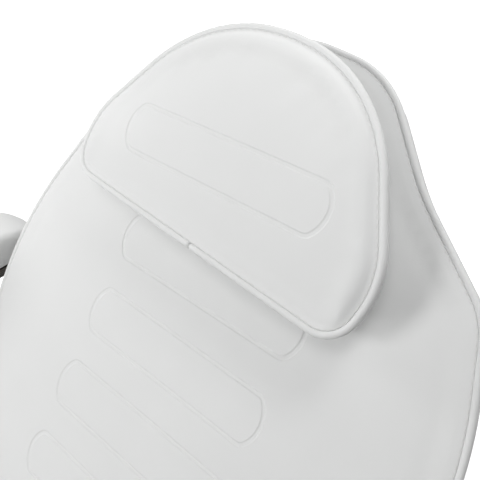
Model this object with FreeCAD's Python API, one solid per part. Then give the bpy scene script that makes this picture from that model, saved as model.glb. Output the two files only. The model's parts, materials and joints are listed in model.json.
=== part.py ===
import FreeCAD, Part
import math
import os

# Beauty treatment chair: hydraulic pedestal, seat, reclining back with head pillow, leg rest, armrests.
# Millimetres, X across the seat, Y towards the back, Z up, origin on the floor under the column.

V = FreeCAD.Vector
ORIGIN = V(0, 0, 0)
AXIS_X = V(1, 0, 0)
AXIS_Y = V(0, 1, 0)
AXIS_Z = V(0, 0, 1)

# General fits and edges
pin_fit = 0.05
press_clearance = 0.02
soft_gap = 0.3
plate_gap = 1.5
open_pivot_gap = 1.0
fine_edge = 0.5
broken_edge = 1.0
round_edge = 2.0

# Base and column
base_radius = 330.0
mat_thick = 4.0
plate_inset = 4.0
plate_chamfer = 1.5
base_plate_thick = 10.0
dish_rise = 42.0
dish_wall = 2.5
dish_inset = 2.0
dish_rim = 5.0
dish_rim_round = 4.0
dish_mid_share = 0.55
dish_mid_round = 180.0
dish_flat_share = 0.86
dish_flat_round = 60.0
dish_lip = 8.0
dish_lip_round = 6.0
pump_flange_radius = 110.0
pump_flange_thick = 12.0
pump_radius = 42.0
pump_below_head = 39.0
pump_bottom = 34.0
seal_height = 8.0
seal_inset = 4.0
seal_taper = 3.0
ram_radius = 25.0
sleeve_radius = 60.0
sleeve_wall = 2.5
sleeve_clearance = 2.0
sleeve_rise = 25.0
sleeve_overlap = 25.0
window_margin = 6.0
window_below = 28.0
window_above = 36.0
window_corner = 8.0
column_height = 439.0
lift_travel = 160.0
ram_head_radius = 90.0
ram_head_thick = 10.0
ram_foot_gap = 10.0
bearing_thick = 8.0
spigot_radius = 20.0
spigot_rise = 6.0
base_bolt_count = 6
bolt_radius = 5.0
bolt_head_thick = 7.0
bolt_head_ratio = 1.8
bolt_grip = 10.0
bolt_short = 2.0
bolt_hole_clearance = 0.5

# Foot pedal
pedal_pivot_y = 78.0
pedal_pivot_z = 100.0
pedal_width = 16.0
pedal_reach = 384.0
pedal_bar = 14.0
pedal_ear_thick = 6.0
pedal_ear_root = 16.0
pedal_ear_half = 11.0
pedal_ear_reach = 12.0
pedal_ear_round = 10.0
pedal_ear_sink = 8.0
pedal_pin_radius = 5.0
pin_head_rim = 3.0
pin_head_thick = 4.0
pin_clip_rim = 2.0
pin_clip_thick = 3.0
pedal_tail = 13.0
pedal_half = 12.0
pedal_thin = 8.0
pedal_bend_at = 70.0
pedal_bend_round = 60.0
pedal_step = 10.0
pedal_knee_round = 30.0
pedal_tip_round = 5.0
foot_plate_thick = 4.0
foot_plate_inset = 4.0
foot_plate_corner = 10.0
pad_width = 88.0
pad_length = 84.0
pad_thick = 14.0
pad_groove = 3.0
pad_groove_count = 5
pad_overhang = 4.0
pad_corner = 14.0

# Steel frame
tube_width = 25.0
tube_height = 40.0
tube_wall = 2.0
tube_corner = 4.0
mounting_thick = 8.0
mounting_half_x = 170.0
mounting_half_y = 130.0
mounting_corner = 20.0
mounting_slot_at = 70.0
mounting_slot_half = 26.0
mounting_slot_end = 22.0
mounting_slot_round = 24.0
mounting_slot_wall = 4.0
mounting_bolt_end = 18.0
mounting_bolt_in = 3.0
bearing_inset = 2.0
rail_inner = 150.0
rail_front_in = 30.0
cross_y = 95.0
hinge_plate = 6.0
hinge_pin_radius = 6.0
hinge_disc = 16.0
arm_disc = 12.0
bracket_corner = 5.0
bracket_back_length = 44.0
bracket_leg_length = 46.0
bracket_edge = 4.0
bracket_heel_round = 12.0
bracket_neck = 6.0
hinge_head_rim = 3.0
hinge_head_thick = 4.0
hinge_clip_thick = 3.0
hinge_clip_gap = 1.0
hinge_arm_edge = 5.0
hinge_arm_corner = 8.0
hinge_arm_heel = 10.0
hinge_arm_crook = 14.0

# Upholstery
board_thick = 15.0
board_inset = 30.0
cushion_thick = 80.0
crown = 10.0
crown_inset = 46.0
crown_level = 0.65
crown_share = 0.4
piping_radius = 4.0
side_tuck = 26.0
side_profile = ((0.0, 1.0), (0.3, 0.6), (0.65, 0.25))
seam_draw = 3.0
panel_width = 236.0
panel_height = 59.0
panel_bulge = 12.0
panel_pitch = 96.0
panel_count = 4
groove_width = 3.0
groove_depth = 2.0

# Seat
seat_half_width = 272.0
seat_rear = 230.0
seat_front = 232.0
seat_corner = 45.0
seat_bow_at = 20.0
seat_bow_round = 700.0

# Back, measured up from its pivot when it lies flat
back_angle = 51.0
back_gap = 20.0
back_start = 15.0
back_foot_round = 40.0
back_seam = 20.0
back_foot_half = 255.0
back_shoulder_half = 328.0
back_shoulder_at = 343.0
back_shoulder_round = 400.0
back_neck_in = 268.0
back_neck_drop = 180.0
back_neck_round = 80.0
back_waist_half = 171.0
back_waist_drop = 104.0
back_waist_round = 300.0
back_head_half = 87.0
back_head_drop = 9.0
back_head_round = 117.0
back_length = 695.0
back_top_round = 170.0
back_rail_in = 15.0
back_rail_drop = 160.0
back_cross_in = 2.0
back_hinge_reach = 120.0
back_panel_at = 130.0

# Head pillow
pillow_half_width = 202.0
pillow_foot_half = 190.0
pillow_foot_round = 36.0
pillow_height = 232.0
pillow_wide_rise = 68.0
pillow_wide_round = 95.0
pillow_dome_half = 109.0
pillow_dome_drop = 7.0
pillow_dome_round = 171.0
pillow_top_drop = 16.0
pillow_top_round = 164.0
pillow_turn = -3.9
pillow_turn_rise = 105.0
pillow_seam_rise = 52.0
pillow_crown = 18.0
pillow_taper = 30.0
tape_thick = 1.5
tape_length = 200.0
tape_width = 40.0
tape_rise = 58.0
tape_pitch = 80.0
tape_corner = 4.0
pillow_panel_rise = 88.0
pillow_panel_turn = 4.0

# Leg rest, measured forward from its pivot when it lies flat
leg_angle = 40.0
leg_gap = 24.0
leg_start = -10.0
leg_knee_round = 40.0
leg_length = 478.0
leg_calf_half = 240.0
leg_calf_at = 330.0
leg_calf_round = 500.0
leg_foot_half = 185.0
leg_foot_round = 90.0
leg_rail_start = 20.0
leg_rail_end = 400.0
leg_hinge_reach = 110.0
leg_panel_at = 90.0

# Armrests
arm_inner = 345.0
arm_width = 90.0
arm_front = 80.0
arm_rear = 500.0
arm_top = 845.0
arm_pad_thick = 58.0
arm_stations = 13
arm_end_share = 0.97
arm_plan_power = 8.0
arm_plan_root = 3.0
arm_side_power = 4.0
arm_side_root = 2.6
arm_edge_share = 0.3
arm_seam_round = 4.0
arm_corner = 34.0
arm_board_inset = 4.0
arm_board_thick = 13.0
arm_plate_thick = 6.0
arm_plate_width = 56.0
arm_plate_front = 120.0
arm_plate_rear = 430.0
arm_plate_corner = 12.0
post_radius = 15.0
post_wall = 3.0
socket_radius = 22.0
socket_height = 90.0
socket_drop = 10.0
boss_radius = 12.0
boss_length = 12.0
post_tail = 60.0
outrigger_y = 190.0
collar_height = 8.0
collar_bite = 1.0
knob_radius = 17.0
knob_lobe = 5.0
knob_lobes = 5
knob_thick = 18.0
knob_screw = 5.0
knob_lobe_share = 0.4
knob_neck = 6.0
knob_neck_in = 7.0
knob_screw_rim = 3.0
knob_gap = 0.5

# Gas struts
strut_radius = 11.0
strut_rod_radius = 5.0
strut_eye_radius = 9.0
strut_plane = 111.5
strut_lug_thick = 6.0
strut_pin_radius = 5.0
strut_eye_over = 2.0
strut_shoulder = 10.0
strut_shoulder_in = 3.0
strut_shoulder_round = 3.0
strut_bore_start = 2.5
strut_clip_gap = 1.0
strut_clip_thick = 3.0
strut_clip_rim = 3.0
bracket_foot_half = 20.0
bracket_foot_drop = 14.0
bracket_foot_round = 12.0
bracket_root_half = 34.0
lug_half = 13.0
lug_round = 10.0
lug_root_half = 11.0
back_strut_y = 0.0
back_strut_drop = 69.0
back_lug_at = 22.0
back_lug_drop = 140.0
back_strut_body = 235.0
back_rod_overlap = 70.0
leg_strut_y = -90.0
leg_strut_drop = 19.0
leg_lug_at = 85.0
leg_lug_drop = 38.0
leg_strut_body = 155.0
leg_rod_overlap = 80.0

# Release levers
lever_radius = 5.0
lever_out = 300.0
lever_bend = 20.0
lever_handle = 86.0
grip_radius = 11.0
grip_length = 62.0
grip_belly_share = 0.6
grip_belly_round = 40.0
grip_neck_in = 3.0
grip_tip_in = 2.0
grip_tip_round = 5.0
grip_end = 6.0
lever_inside = 6.0
lever_collar_rim = 4.0
lever_collar_thick = 4.0
lever_clip_rim = 3.0
lever_clip_thick = 3.5
lever_y = 70.0

# Levels that follow from the sizes above
seat_end_half_width = back_foot_half
leg_knee_half = back_foot_half
plate_top = mat_thick + base_plate_thick
flange_top = plate_top + pump_flange_thick
dish_top = plate_top + dish_rise
ram_top = column_height + ram_head_thick
mounting_low = ram_top + bearing_thick
frame_low = mounting_low + mounting_thick
back_strut_z = mounting_low - back_strut_drop
leg_strut_z = mounting_low - leg_strut_drop
frame_top = frame_low + tube_height
frame_mid = (frame_low + frame_top) / 2.0
cushion_low = frame_top + board_thick
seat_seam = cushion_low + cushion_thick
back_pivot_y = seat_rear + back_gap
back_pivot_z = seat_seam - back_seam
leg_pivot_y = -seat_front - leg_gap
leg_pivot_z = frame_mid
leg_seam = seat_seam - leg_pivot_z
hinge_inner = rail_inner + tube_width
moving_inner = hinge_inner + hinge_plate + plate_gap
rail_rear = back_pivot_y + hinge_disc
rail_front = leg_pivot_y + rail_front_in
shift_rail = moving_inner - tube_width
back_neck_at = back_length - back_neck_drop
back_waist_at = back_length - back_waist_drop
back_head_at = back_length - back_head_drop
back_rail_end = back_length - back_rail_drop
pillow_top = back_length - pillow_top_drop
pillow_low = pillow_top - pillow_height
pillow_wide_at = pillow_low + pillow_wide_rise
pillow_dome_at = pillow_top - pillow_dome_drop
pillow_turn_at = pillow_low + pillow_turn_rise
pillow_panel_at = pillow_low + pillow_panel_rise
tape_low = pillow_low + tape_rise
pillow_low_n = back_seam + crown + 2.0 * tape_thick
pillow_seam = back_seam + crown + pillow_seam_rise
pillow_top_n = pillow_seam + pillow_crown


# Shape helpers

def turn_corner(before, corner, after):
    # Tangent points and middle of the arc that rounds one corner, or the sharp corner itself.
    point = V(corner[0], corner[1], 0)
    if corner[2] == 0:
        return point, None, point
    to_before = (V(before[0], before[1], 0) - point).normalize()
    to_after = (V(after[0], after[1], 0) - point).normalize()
    half = to_before.getAngle(to_after) / 2.0
    reach = corner[2] / math.tan(half)
    middle = (to_before + to_after).normalize()
    centre = point + middle * (corner[2] / math.sin(half))
    return point + to_before * reach, centre - middle * corner[2], point + to_after * reach


def outline(corners, level=0.0):
    # Closed wire of straight lines and tangent arcs through rounded corners.
    edges = []
    rise = V(0, 0, level)
    arcs = []
    count = len(corners)
    for i in range(count):
        arcs.append(turn_corner(corners[i - 1], corners[i], corners[(i + 1) % count]))
    for i in range(count):
        first, middle, last = arcs[i]
        start = arcs[(i + 1) % count][0]
        if middle is not None:
            edges.append(Part.Arc(first + rise, middle + rise, last + rise).toShape())
        edges.append(Part.makeLine(last + rise, start + rise))
    return Part.Wire(edges)


def mirrored(half):
    # Full outline from its right half, listed from the top down.
    left = [(-x, y, r) for x, y, r in reversed(half) if x > 0]
    return left + half if half[0][0] == 0 else half + left


def inset(corners, gap):
    # The outline moved inwards by a gap, with its corners rounded to suit.
    count = len(corners)
    area = 0.0
    for i in range(count):
        a, b = corners[i - 1], corners[i]
        area += a[0] * b[1] - b[0] * a[1]
    hand = 1.0 if area > 0 else -1.0
    moved = []
    for i in range(count):
        a, p, b = corners[i - 1], corners[i], corners[(i + 1) % count]
        one = V(p[0] - a[0], p[1] - a[1], 0).normalize()
        two = V(b[0] - p[0], b[1] - p[1], 0).normalize()
        turn = one.cross(two).z * hand
        shift_one = V(-one.y, one.x, 0) * hand
        shift_two = V(-two.y, two.x, 0) * hand
        shift = (shift_one + shift_two) * (gap / (1.0 + shift_one.dot(shift_two)))
        radius = p[2] - gap if turn > 0 else p[2] + gap
        moved.append((p[0] + shift.x, p[1] + shift.y, max(radius, 1.0)))
    return moved


def prism(corners, low, high):
    return Part.Face(outline(corners, low)).extrude(V(0, 0, high - low))


def rectangle(x_low, x_high, y_low, y_high, corner):
    low = [(x_low, y_low, corner), (x_high, y_low, corner)]
    return low + [(x_high, y_high, corner), (x_low, y_high, corner)]


def loft(corners, sections):
    # Smooth solid through the outline inset by each section's amount at each level.
    wires = [outline(inset(corners, gap), level) for level, gap in sections]
    return Part.makeLoft(wires, True, False)


def revolved(corners):
    # Solid of revolution about Z from a rounded profile in radius and height.
    profile = Part.Face(outline(corners))
    profile.rotate(ORIGIN, AXIS_X, 90)
    return profile.revolve(ORIGIN, AXIS_Z, 360)


def rod_x(radius, x_low, x_high, y, z):
    return Part.makeCylinder(radius, x_high - x_low, V(x_low, y, z), AXIS_X)


def plate_x(corners, x_low, x_high):
    # Flat plate standing across X, its profile given in Y and Z.
    plate = prism(corners, x_low, x_high)
    plate.rotate(ORIGIN, V(1, 1, 1), 120)
    return plate


def tube(length, wide, tall):
    # Closed-end rectangular tube along Y, resting on Z zero and centred on X.
    outer = prism(rectangle(-wide / 2, wide / 2, 0, tall, tube_corner), 0, length)
    bore = rectangle(-wide / 2 + tube_wall, wide / 2 - tube_wall, tube_wall, tall - tube_wall, tube_wall)
    inner = prism(bore, tube_wall, length - tube_wall)
    solid = outer.cut(inner)
    solid.rotate(ORIGIN, AXIS_X, 90)
    solid.translate(V(0, length, 0))
    return solid


def tube_y(x_low, y_low, y_high, z_low):
    solid = tube(y_high - y_low, tube_width, tube_height)
    solid.translate(V(x_low + tube_width / 2, y_low, z_low))
    return solid


def tube_x(x_low, x_high, y_low, z_low):
    solid = tube(x_high - x_low, tube_width, tube_height)
    solid.rotate(ORIGIN, AXIS_Z, -90)
    solid.translate(V(x_low, y_low + tube_width / 2, z_low))
    return solid


def mirror_x(shape):
    return shape.mirror(ORIGIN, AXIS_X)


def pair(shape):
    return Part.makeCompound([shape, mirror_x(shape)])


def hex_bolt(x, y, seat_level, length):
    # Hexagon-head bolt whose head hangs under a face and whose shank points up.
    across = bolt_radius * bolt_head_ratio
    turns = [math.radians(60 * i) for i in range(7)]
    points = [V(across * math.cos(turn), across * math.sin(turn), 0) for turn in turns]
    head = Part.Face(Part.makePolygon(points)).extrude(V(0, 0, -bolt_head_thick))
    bolt = head.fuse(Part.makeCylinder(bolt_radius, length))
    bolt.translate(V(x, y, seat_level))
    return bolt


def panel_outline(wide, tall, bulge, across, along, level):
    # Long embossed panel with straight sides and bowed ends.
    left, right = across - wide / 2, across + wide / 2
    low, high = along - tall / 2, along + tall / 2
    edges = [
        Part.makeLine(V(left, low, level), V(right, low, level)),
        Part.Arc(V(right, low, level), V(right + bulge, along, level), V(right, high, level)).toShape(),
        Part.makeLine(V(right, high, level), V(left, high, level)),
        Part.Arc(V(left, high, level), V(left - bulge, along, level), V(left, low, level)).toShape(),
    ]
    return Part.Face(Part.Wire(edges))


def panel_groove(along, level):
    outer = panel_outline(panel_width, panel_height, panel_bulge, 0, along, level - groove_depth)
    inner = panel_outline(panel_width - 2 * groove_width, panel_height - 2 * groove_width, panel_bulge,
                          0, along, level - groove_depth)
    return outer.cut(inner).extrude(V(0, 0, 2 * groove_depth))


def cushion(corners, low, seam, top, foot_tuck, top_inset, panels, panel_turn):
    # Boxing with drawn-in sides, a neck for the piping and a crowned face with embossed panels.
    box_top = seam - piping_radius
    neck = 2.0 * piping_radius + soft_gap
    rise = box_top - low
    sides = [(low + rise * level, foot_tuck * share) for level, share in side_profile]
    sides.append((box_top, seam_draw))
    face_low = seam + piping_radius
    shoulder = (face_low + (top - face_low) * crown_level, neck + (top_inset - neck) * crown_share)
    face = [(face_low, neck), shoulder, (top, top_inset)]
    solid = loft(corners, sides)
    solid = solid.fuse(prism(inset(corners, neck), box_top, face_low))
    solid = solid.fuse(loft(corners, face))
    for along in panels:
        groove = panel_groove(along, top)
        groove.rotate(V(0, along, 0), AXIS_Z, panel_turn)
        solid = solid.cut(groove)
    return solid


def piping(corners, seam):
    # Round welt that runs along the seam of a cushion.
    path = outline(inset(corners, piping_radius), seam)
    edge = path.Edges[1]
    start = edge.valueAt(edge.FirstParameter)
    along = edge.tangentAt(edge.FirstParameter)
    ring = Part.Wire(Part.makeCircle(piping_radius - soft_gap / 2, start, along))
    path = Part.Wire(path.Edges[1:] + path.Edges[:1])
    return path.makePipeShell([ring], True, True)


def save(name, shape):
    shape.exportStep("parts/" + name + ".step")


os.makedirs("parts", exist_ok=True)

# Floor mat, base plate and chrome cover
save("floor_mat", revolved([
    (0, 0, 0), (base_radius, 0, broken_edge), (base_radius, mat_thick, broken_edge), (0, mat_thick, 0)]))
plate_radius = base_radius - plate_inset
bolt_circle = pump_flange_radius - 3.0 * bolt_radius
base_plate = Part.makeCylinder(plate_radius, base_plate_thick, V(0, 0, mat_thick))
base_plate = base_plate.makeChamfer(plate_chamfer, [base_plate.Edges[0]])
bolt_places = []
for i in range(base_bolt_count):
    angle = math.radians(360.0 / base_bolt_count * i)
    bolt_places.append((bolt_circle * math.cos(angle), bolt_circle * math.sin(angle)))
hole_radius = bolt_radius + bolt_hole_clearance
for x, y in bolt_places:
    base_plate = base_plate.cut(Part.makeCylinder(hole_radius, base_plate_thick, V(x, y, mat_thick)))
save("base_plate", base_plate)

cover_rim = plate_radius - dish_inset
cover_inner = cover_rim - dish_wall
cover_rim_top = plate_top + dish_rim
cover_hole = sleeve_radius + sleeve_clearance
cover_lip = cover_hole + dish_lip
cover_mid = (cover_rim + pump_flange_radius) / 2.0
cover_mid_z = plate_top + dish_rise * dish_mid_share
cover_flat_z = plate_top + dish_rise * dish_flat_share
save("base_cover", revolved([
    (cover_inner, plate_top, fine_edge), (cover_rim, plate_top, fine_edge),
    (cover_rim, cover_rim_top, dish_rim_round), (cover_mid, cover_mid_z, dish_mid_round),
    (pump_flange_radius, cover_flat_z, dish_flat_round), (cover_lip, dish_top, dish_lip_round),
    (cover_hole, dish_top, fine_edge), (cover_hole, dish_top - dish_wall, fine_edge),
    (cover_lip, dish_top - dish_wall, dish_lip_round),
    (pump_flange_radius, cover_flat_z - dish_wall, dish_flat_round),
    (cover_mid, cover_mid_z - dish_wall, dish_mid_round),
    (cover_inner, cover_rim_top - dish_wall, round_edge)]))

bolts = []
for x, y in bolt_places:
    bolt = hex_bolt(0, 0, 0, base_plate_thick + pump_flange_thick - bolt_short)
    bolt.rotate(ORIGIN, AXIS_X, 180)
    bolt.translate(V(x, y, flange_top))
    bolts.append(bolt)
save("base_bolts", Part.makeCompound(bolts))

# Hydraulic pump, with the ears that carry the pedal
pump_top = column_height - pump_below_head
pump_floor = flange_top + pump_bottom
pump = revolved([
    (0, plate_top, 0), (pump_flange_radius, plate_top, broken_edge),
    (pump_flange_radius, flange_top, round_edge), (pump_radius, flange_top, round_edge),
    (pump_radius, pump_top, round_edge), (0, pump_top, 0)])
pump = pump.cut(Part.makeCylinder(ram_radius + pin_fit, pump_top, V(0, 0, pump_floor)))
for x, y in bolt_places:
    pump = pump.cut(Part.makeCylinder(hole_radius, pump_flange_thick, V(x, y, plate_top)))
ear_in = pedal_width / 2 + plate_gap
ear_root = pump_radius - pedal_ear_sink
ear_tip = pedal_pivot_y + pedal_ear_reach
ear = plate_x([
    (ear_root, pedal_pivot_z - pedal_ear_root, broken_edge),
    (ear_tip, pedal_pivot_z - pedal_ear_half, pedal_ear_round),
    (ear_tip, pedal_pivot_z + pedal_ear_half, pedal_ear_round),
    (ear_root, pedal_pivot_z + pedal_ear_root, broken_edge)], ear_in, ear_in + pedal_ear_thick)
for side in (ear, mirror_x(ear)):
    side = side.cut(Part.makeCylinder(pump_radius - round_edge, column_height))
    pump = pump.fuse(side)
pedal_span = ear_in + pedal_ear_thick
pin_hole = pedal_pin_radius + press_clearance
pump = pump.cut(rod_x(pin_hole, -pedal_span, pedal_span, pedal_pivot_y, pedal_pivot_z))
save("pump_body", pump)
pin_head = pedal_pin_radius + pin_head_rim
pin_clip = pedal_pin_radius + pin_clip_rim
pin_low = -pedal_span - pin_head_thick
pin_high = pedal_span + pin_clip_thick
pedal_pin = revolved([
    (0, pin_low, 0), (pin_head, pin_low, broken_edge), (pin_head, -pedal_span, fine_edge),
    (pedal_pin_radius, -pedal_span, 0), (pedal_pin_radius, pedal_span, 0),
    (pin_clip, pedal_span, fine_edge), (pin_clip, pin_high, fine_edge), (0, pin_high, 0)])
pedal_pin.rotate(ORIGIN, AXIS_Y, 90)
pedal_pin.translate(V(0, pedal_pivot_y, pedal_pivot_z))
save("pedal_pin", pedal_pin)
seal_foot = pump_radius - seal_inset
seal_top = pump_top + seal_height
save("wiper_seal", revolved([
    (ram_radius + pin_fit, pump_top, fine_edge), (seal_foot, pump_top, broken_edge),
    (seal_foot - seal_taper, seal_top, round_edge), (ram_radius + pin_fit, seal_top, fine_edge)]))

# Telescopic column covers and ram
window_half = pedal_span + window_margin
window_low = pedal_pivot_z - window_below
window_high = pedal_pivot_z + window_above
sleeve_top = pump_top + sleeve_rise
lower = Part.makeCylinder(sleeve_radius, sleeve_top - flange_top, V(0, 0, flange_top))
lower = lower.cut(Part.makeCylinder(sleeve_radius - sleeve_wall, sleeve_top, V(0, 0, flange_top)))
window = rectangle(-window_half, window_half, window_low, window_high, window_corner)
window = prism(window, 0, 2 * sleeve_radius)
window.rotate(ORIGIN, AXIS_X, 90)
window.translate(V(0, 2 * sleeve_radius, 0))
save("column_sleeve_lower", lower.cut(window))
upper_inner = sleeve_radius + sleeve_clearance
upper_outer = upper_inner + 2 * sleeve_wall
upper_low = sleeve_top - lift_travel - sleeve_overlap
save("column_sleeve_upper", revolved([
    (upper_inner, upper_low, broken_edge), (upper_outer, upper_low, round_edge),
    (upper_outer, column_height, broken_edge), (upper_inner, column_height, broken_edge)]))
ram_foot = pump_floor + ram_foot_gap
spigot_top = frame_low + spigot_rise
save("ram", revolved([
    (0, ram_foot, 0), (ram_radius, ram_foot, round_edge), (ram_radius, column_height, broken_edge),
    (ram_head_radius, column_height, round_edge), (ram_head_radius, ram_top, round_edge),
    (spigot_radius, ram_top, fine_edge), (spigot_radius, spigot_top, round_edge), (0, spigot_top, 0)]))

# Foot pedal
pedal_flat = pedal_reach - pad_length
pedal_top = pedal_pivot_z + pedal_bar + pedal_step
pedal_low = pedal_top - pedal_bar
pedal_end = pedal_pivot_y - pedal_tail
pedal_bend = pedal_pivot_y + pedal_bend_at
pedal = plate_x([
    (pedal_end, pedal_pivot_z - pedal_half, pedal_ear_round),
    (pedal_bend, pedal_pivot_z - pedal_thin, pedal_bend_round),
    (pedal_flat, pedal_low, pedal_knee_round), (pedal_reach, pedal_low, pedal_tip_round),
    (pedal_reach, pedal_top, pedal_tip_round), (pedal_flat, pedal_top, pedal_knee_round),
    (pedal_bend, pedal_pivot_z + pedal_half, pedal_bend_round),
    (pedal_end, pedal_pivot_z + pedal_half, pedal_ear_round)], -pedal_width / 2, pedal_width / 2)
pad_low = pedal_top + foot_plate_thick
foot_half = pad_width / 2 - foot_plate_inset
foot_plate = rectangle(-foot_half, foot_half, pedal_flat + foot_plate_inset, pedal_reach, foot_plate_corner)
pedal = pedal.fuse(prism(foot_plate, pedal_top, pad_low))
pin_hole = pedal_pin_radius + pin_fit
pedal = pedal.cut(rod_x(pin_hole, -pedal_width, pedal_width, pedal_pivot_y, pedal_pivot_z))
save("pedal_arm", pedal)
pad_rear = pedal_reach + pad_overhang
pad_top = pad_low + pad_thick
pedal_pad = rectangle(-pad_width / 2, pad_width / 2, pedal_flat, pad_rear, pad_corner)
pedal_pad = prism(pedal_pad, pad_low, pad_top)
pad_step = (pad_rear - pedal_flat) / (pad_groove_count + 1)
for i in range(pad_groove_count):
    corner = V(-pad_width / 2, pedal_flat + pad_step * (i + 1) - pad_groove / 2, pad_top - pad_groove)
    pedal_pad = pedal_pad.cut(Part.makeBox(pad_width, pad_groove, pad_groove, corner))
save("pedal_pad", pedal_pad)

# Swivel bearing, mounting plate and its bolts
bearing_bore = spigot_radius + pin_fit
bearing_rim = ram_head_radius - bearing_inset
save("swivel_bearing", revolved([
    (bearing_bore, ram_top, fine_edge), (bearing_rim, ram_top, broken_edge),
    (bearing_rim, mounting_low, broken_edge), (bearing_bore, mounting_low, fine_edge)]))
mounting = rectangle(-mounting_half_x, mounting_half_x, -mounting_half_y, mounting_half_y, mounting_corner)
mounting = prism(mounting, mounting_low, frame_low)
mounting = mounting.cut(Part.makeCylinder(bearing_bore, mounting_thick, V(0, 0, mounting_low)))
rail_mid = rail_inner + tube_width / 2
bolt_x = rail_mid - mounting_bolt_in
bolt_y = mounting_half_y - mounting_bolt_end
frame_bolts = [(sx * bolt_x, sy * bolt_y) for sx in (-1, 1) for sy in (-1, 1)]
for x, y in frame_bolts:
    mounting = mounting.cut(Part.makeCylinder(hole_radius, mounting_thick, V(x, y, mounting_low)))
slot_end = mounting_half_y - mounting_slot_end
slot = rectangle(mounting_slot_at - mounting_slot_half, mounting_slot_at + mounting_slot_half,
                 -slot_end, slot_end, mounting_slot_round)
slot = prism(slot, mounting_low, frame_low)
slot = slot.cut(Part.makeCylinder(ram_head_radius + mounting_slot_wall, frame_top))
save("mounting_plate", mounting.cut(slot).cut(mirror_x(slot)))
shank = mounting_thick + tube_wall + bolt_grip
save("mounting_bolts", Part.makeCompound([hex_bolt(x, y, mounting_low, shank) for x, y in frame_bolts]))

# Seat frame
rail = tube_y(rail_inner, rail_front, rail_rear, frame_low)
rails = [rail, mirror_x(rail)]
for i in range(2):
    for x, y in frame_bolts:
        rails[i] = rails[i].cut(Part.makeCylinder(hole_radius, tube_wall, V(x, y, frame_low)))
for y in (lever_y, -lever_y):
    rails[0] = rails[0].cut(rod_x(lever_radius + pin_fit, rail_inner, hinge_inner, y, frame_mid))
save("seat_rails", Part.makeCompound(rails))
crosses = [tube_x(-rail_inner, rail_inner, cross_y, frame_low),
           tube_x(-rail_inner, rail_inner, -cross_y - tube_width, frame_low)]
save("seat_crosses", Part.makeCompound(crosses))

# Hinge brackets on the seat and their pins
hinge_outer = hinge_inner + hinge_plate
disc_round = hinge_disc - round_edge
rear_face = back_pivot_y + hinge_disc
rear_neck = back_pivot_y - hinge_disc + round_edge
rear_start = rail_rear - bracket_back_length
back_bracket = plate_x([
    (rear_start, frame_low + bracket_edge, bracket_corner),
    (rear_face, frame_low + bracket_edge, bracket_heel_round),
    (rear_face, back_pivot_z + hinge_disc, disc_round),
    (rear_neck, back_pivot_z + hinge_disc, disc_round - broken_edge),
    (rear_neck, frame_top + bracket_neck, bracket_neck),
    (rear_start, frame_top - bracket_edge, bracket_corner)], hinge_inner, hinge_outer)
press_hole = hinge_pin_radius + press_clearance
back_bracket = back_bracket.cut(rod_x(press_hole, hinge_inner, hinge_outer, back_pivot_y, back_pivot_z))
front_face = leg_pivot_y - hinge_disc
front_end = rail_front + bracket_leg_length
leg_bracket = plate_x([
    (front_face, leg_pivot_z - hinge_disc, hinge_disc - broken_edge),
    (front_end, leg_pivot_z - hinge_disc, bracket_corner),
    (front_end, leg_pivot_z + hinge_disc, bracket_corner),
    (front_face, leg_pivot_z + hinge_disc, hinge_disc - broken_edge)], hinge_inner, hinge_outer)
leg_bracket = leg_bracket.cut(rod_x(press_hole, hinge_inner, hinge_outer, leg_pivot_y, leg_pivot_z))
save("hinge_brackets", Part.makeCompound([
    back_bracket, mirror_x(back_bracket), leg_bracket, mirror_x(leg_bracket)]))
moving_outer = moving_inner + hinge_plate
pin_head = hinge_pin_radius + hinge_head_rim
pin_low = hinge_inner - hinge_head_thick
pin_end = moving_outer + hinge_clip_gap
pin_high = pin_end + hinge_clip_thick
hinge_pin = revolved([
    (0, pin_low, 0), (pin_head, pin_low, round_edge), (pin_head, hinge_inner, fine_edge),
    (hinge_pin_radius, hinge_inner, 0), (hinge_pin_radius, pin_end, 0),
    (pin_head, pin_end, fine_edge), (pin_head, pin_high, broken_edge), (0, pin_high, 0)])
hinge_pin.rotate(ORIGIN, AXIS_Y, 90)
back_pin = hinge_pin.translated(V(0, back_pivot_y, back_pivot_z))
leg_pin = hinge_pin.translated(V(0, leg_pivot_y, leg_pivot_z))
save("hinge_pins", Part.makeCompound([back_pin, mirror_x(back_pin), leg_pin, mirror_x(leg_pin)]))

# Seat upholstery
seat_shape = mirrored([
    (seat_end_half_width, seat_rear, seat_corner), (seat_half_width, seat_bow_at, seat_bow_round),
    (seat_end_half_width, -seat_front, seat_corner)])
save("seat_board", prism(inset(seat_shape, board_inset), frame_top, cushion_low))
seat_panels = [panel_pitch * (i - (panel_count - 1) / 2.0) for i in range(panel_count)]
save("seat_cushion", cushion(seat_shape, cushion_low, seat_seam, seat_seam + crown, side_tuck,
                             crown_inset, seat_panels, 0))
save("seat_piping", piping(seat_shape, seat_seam))


# Back rest, drawn flat about its pivot and then raised
def raise_back(shape):
    shape.rotate(ORIGIN, AXIS_X, back_angle)
    shape.translate(V(0, back_pivot_y, back_pivot_z))
    return shape


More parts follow.
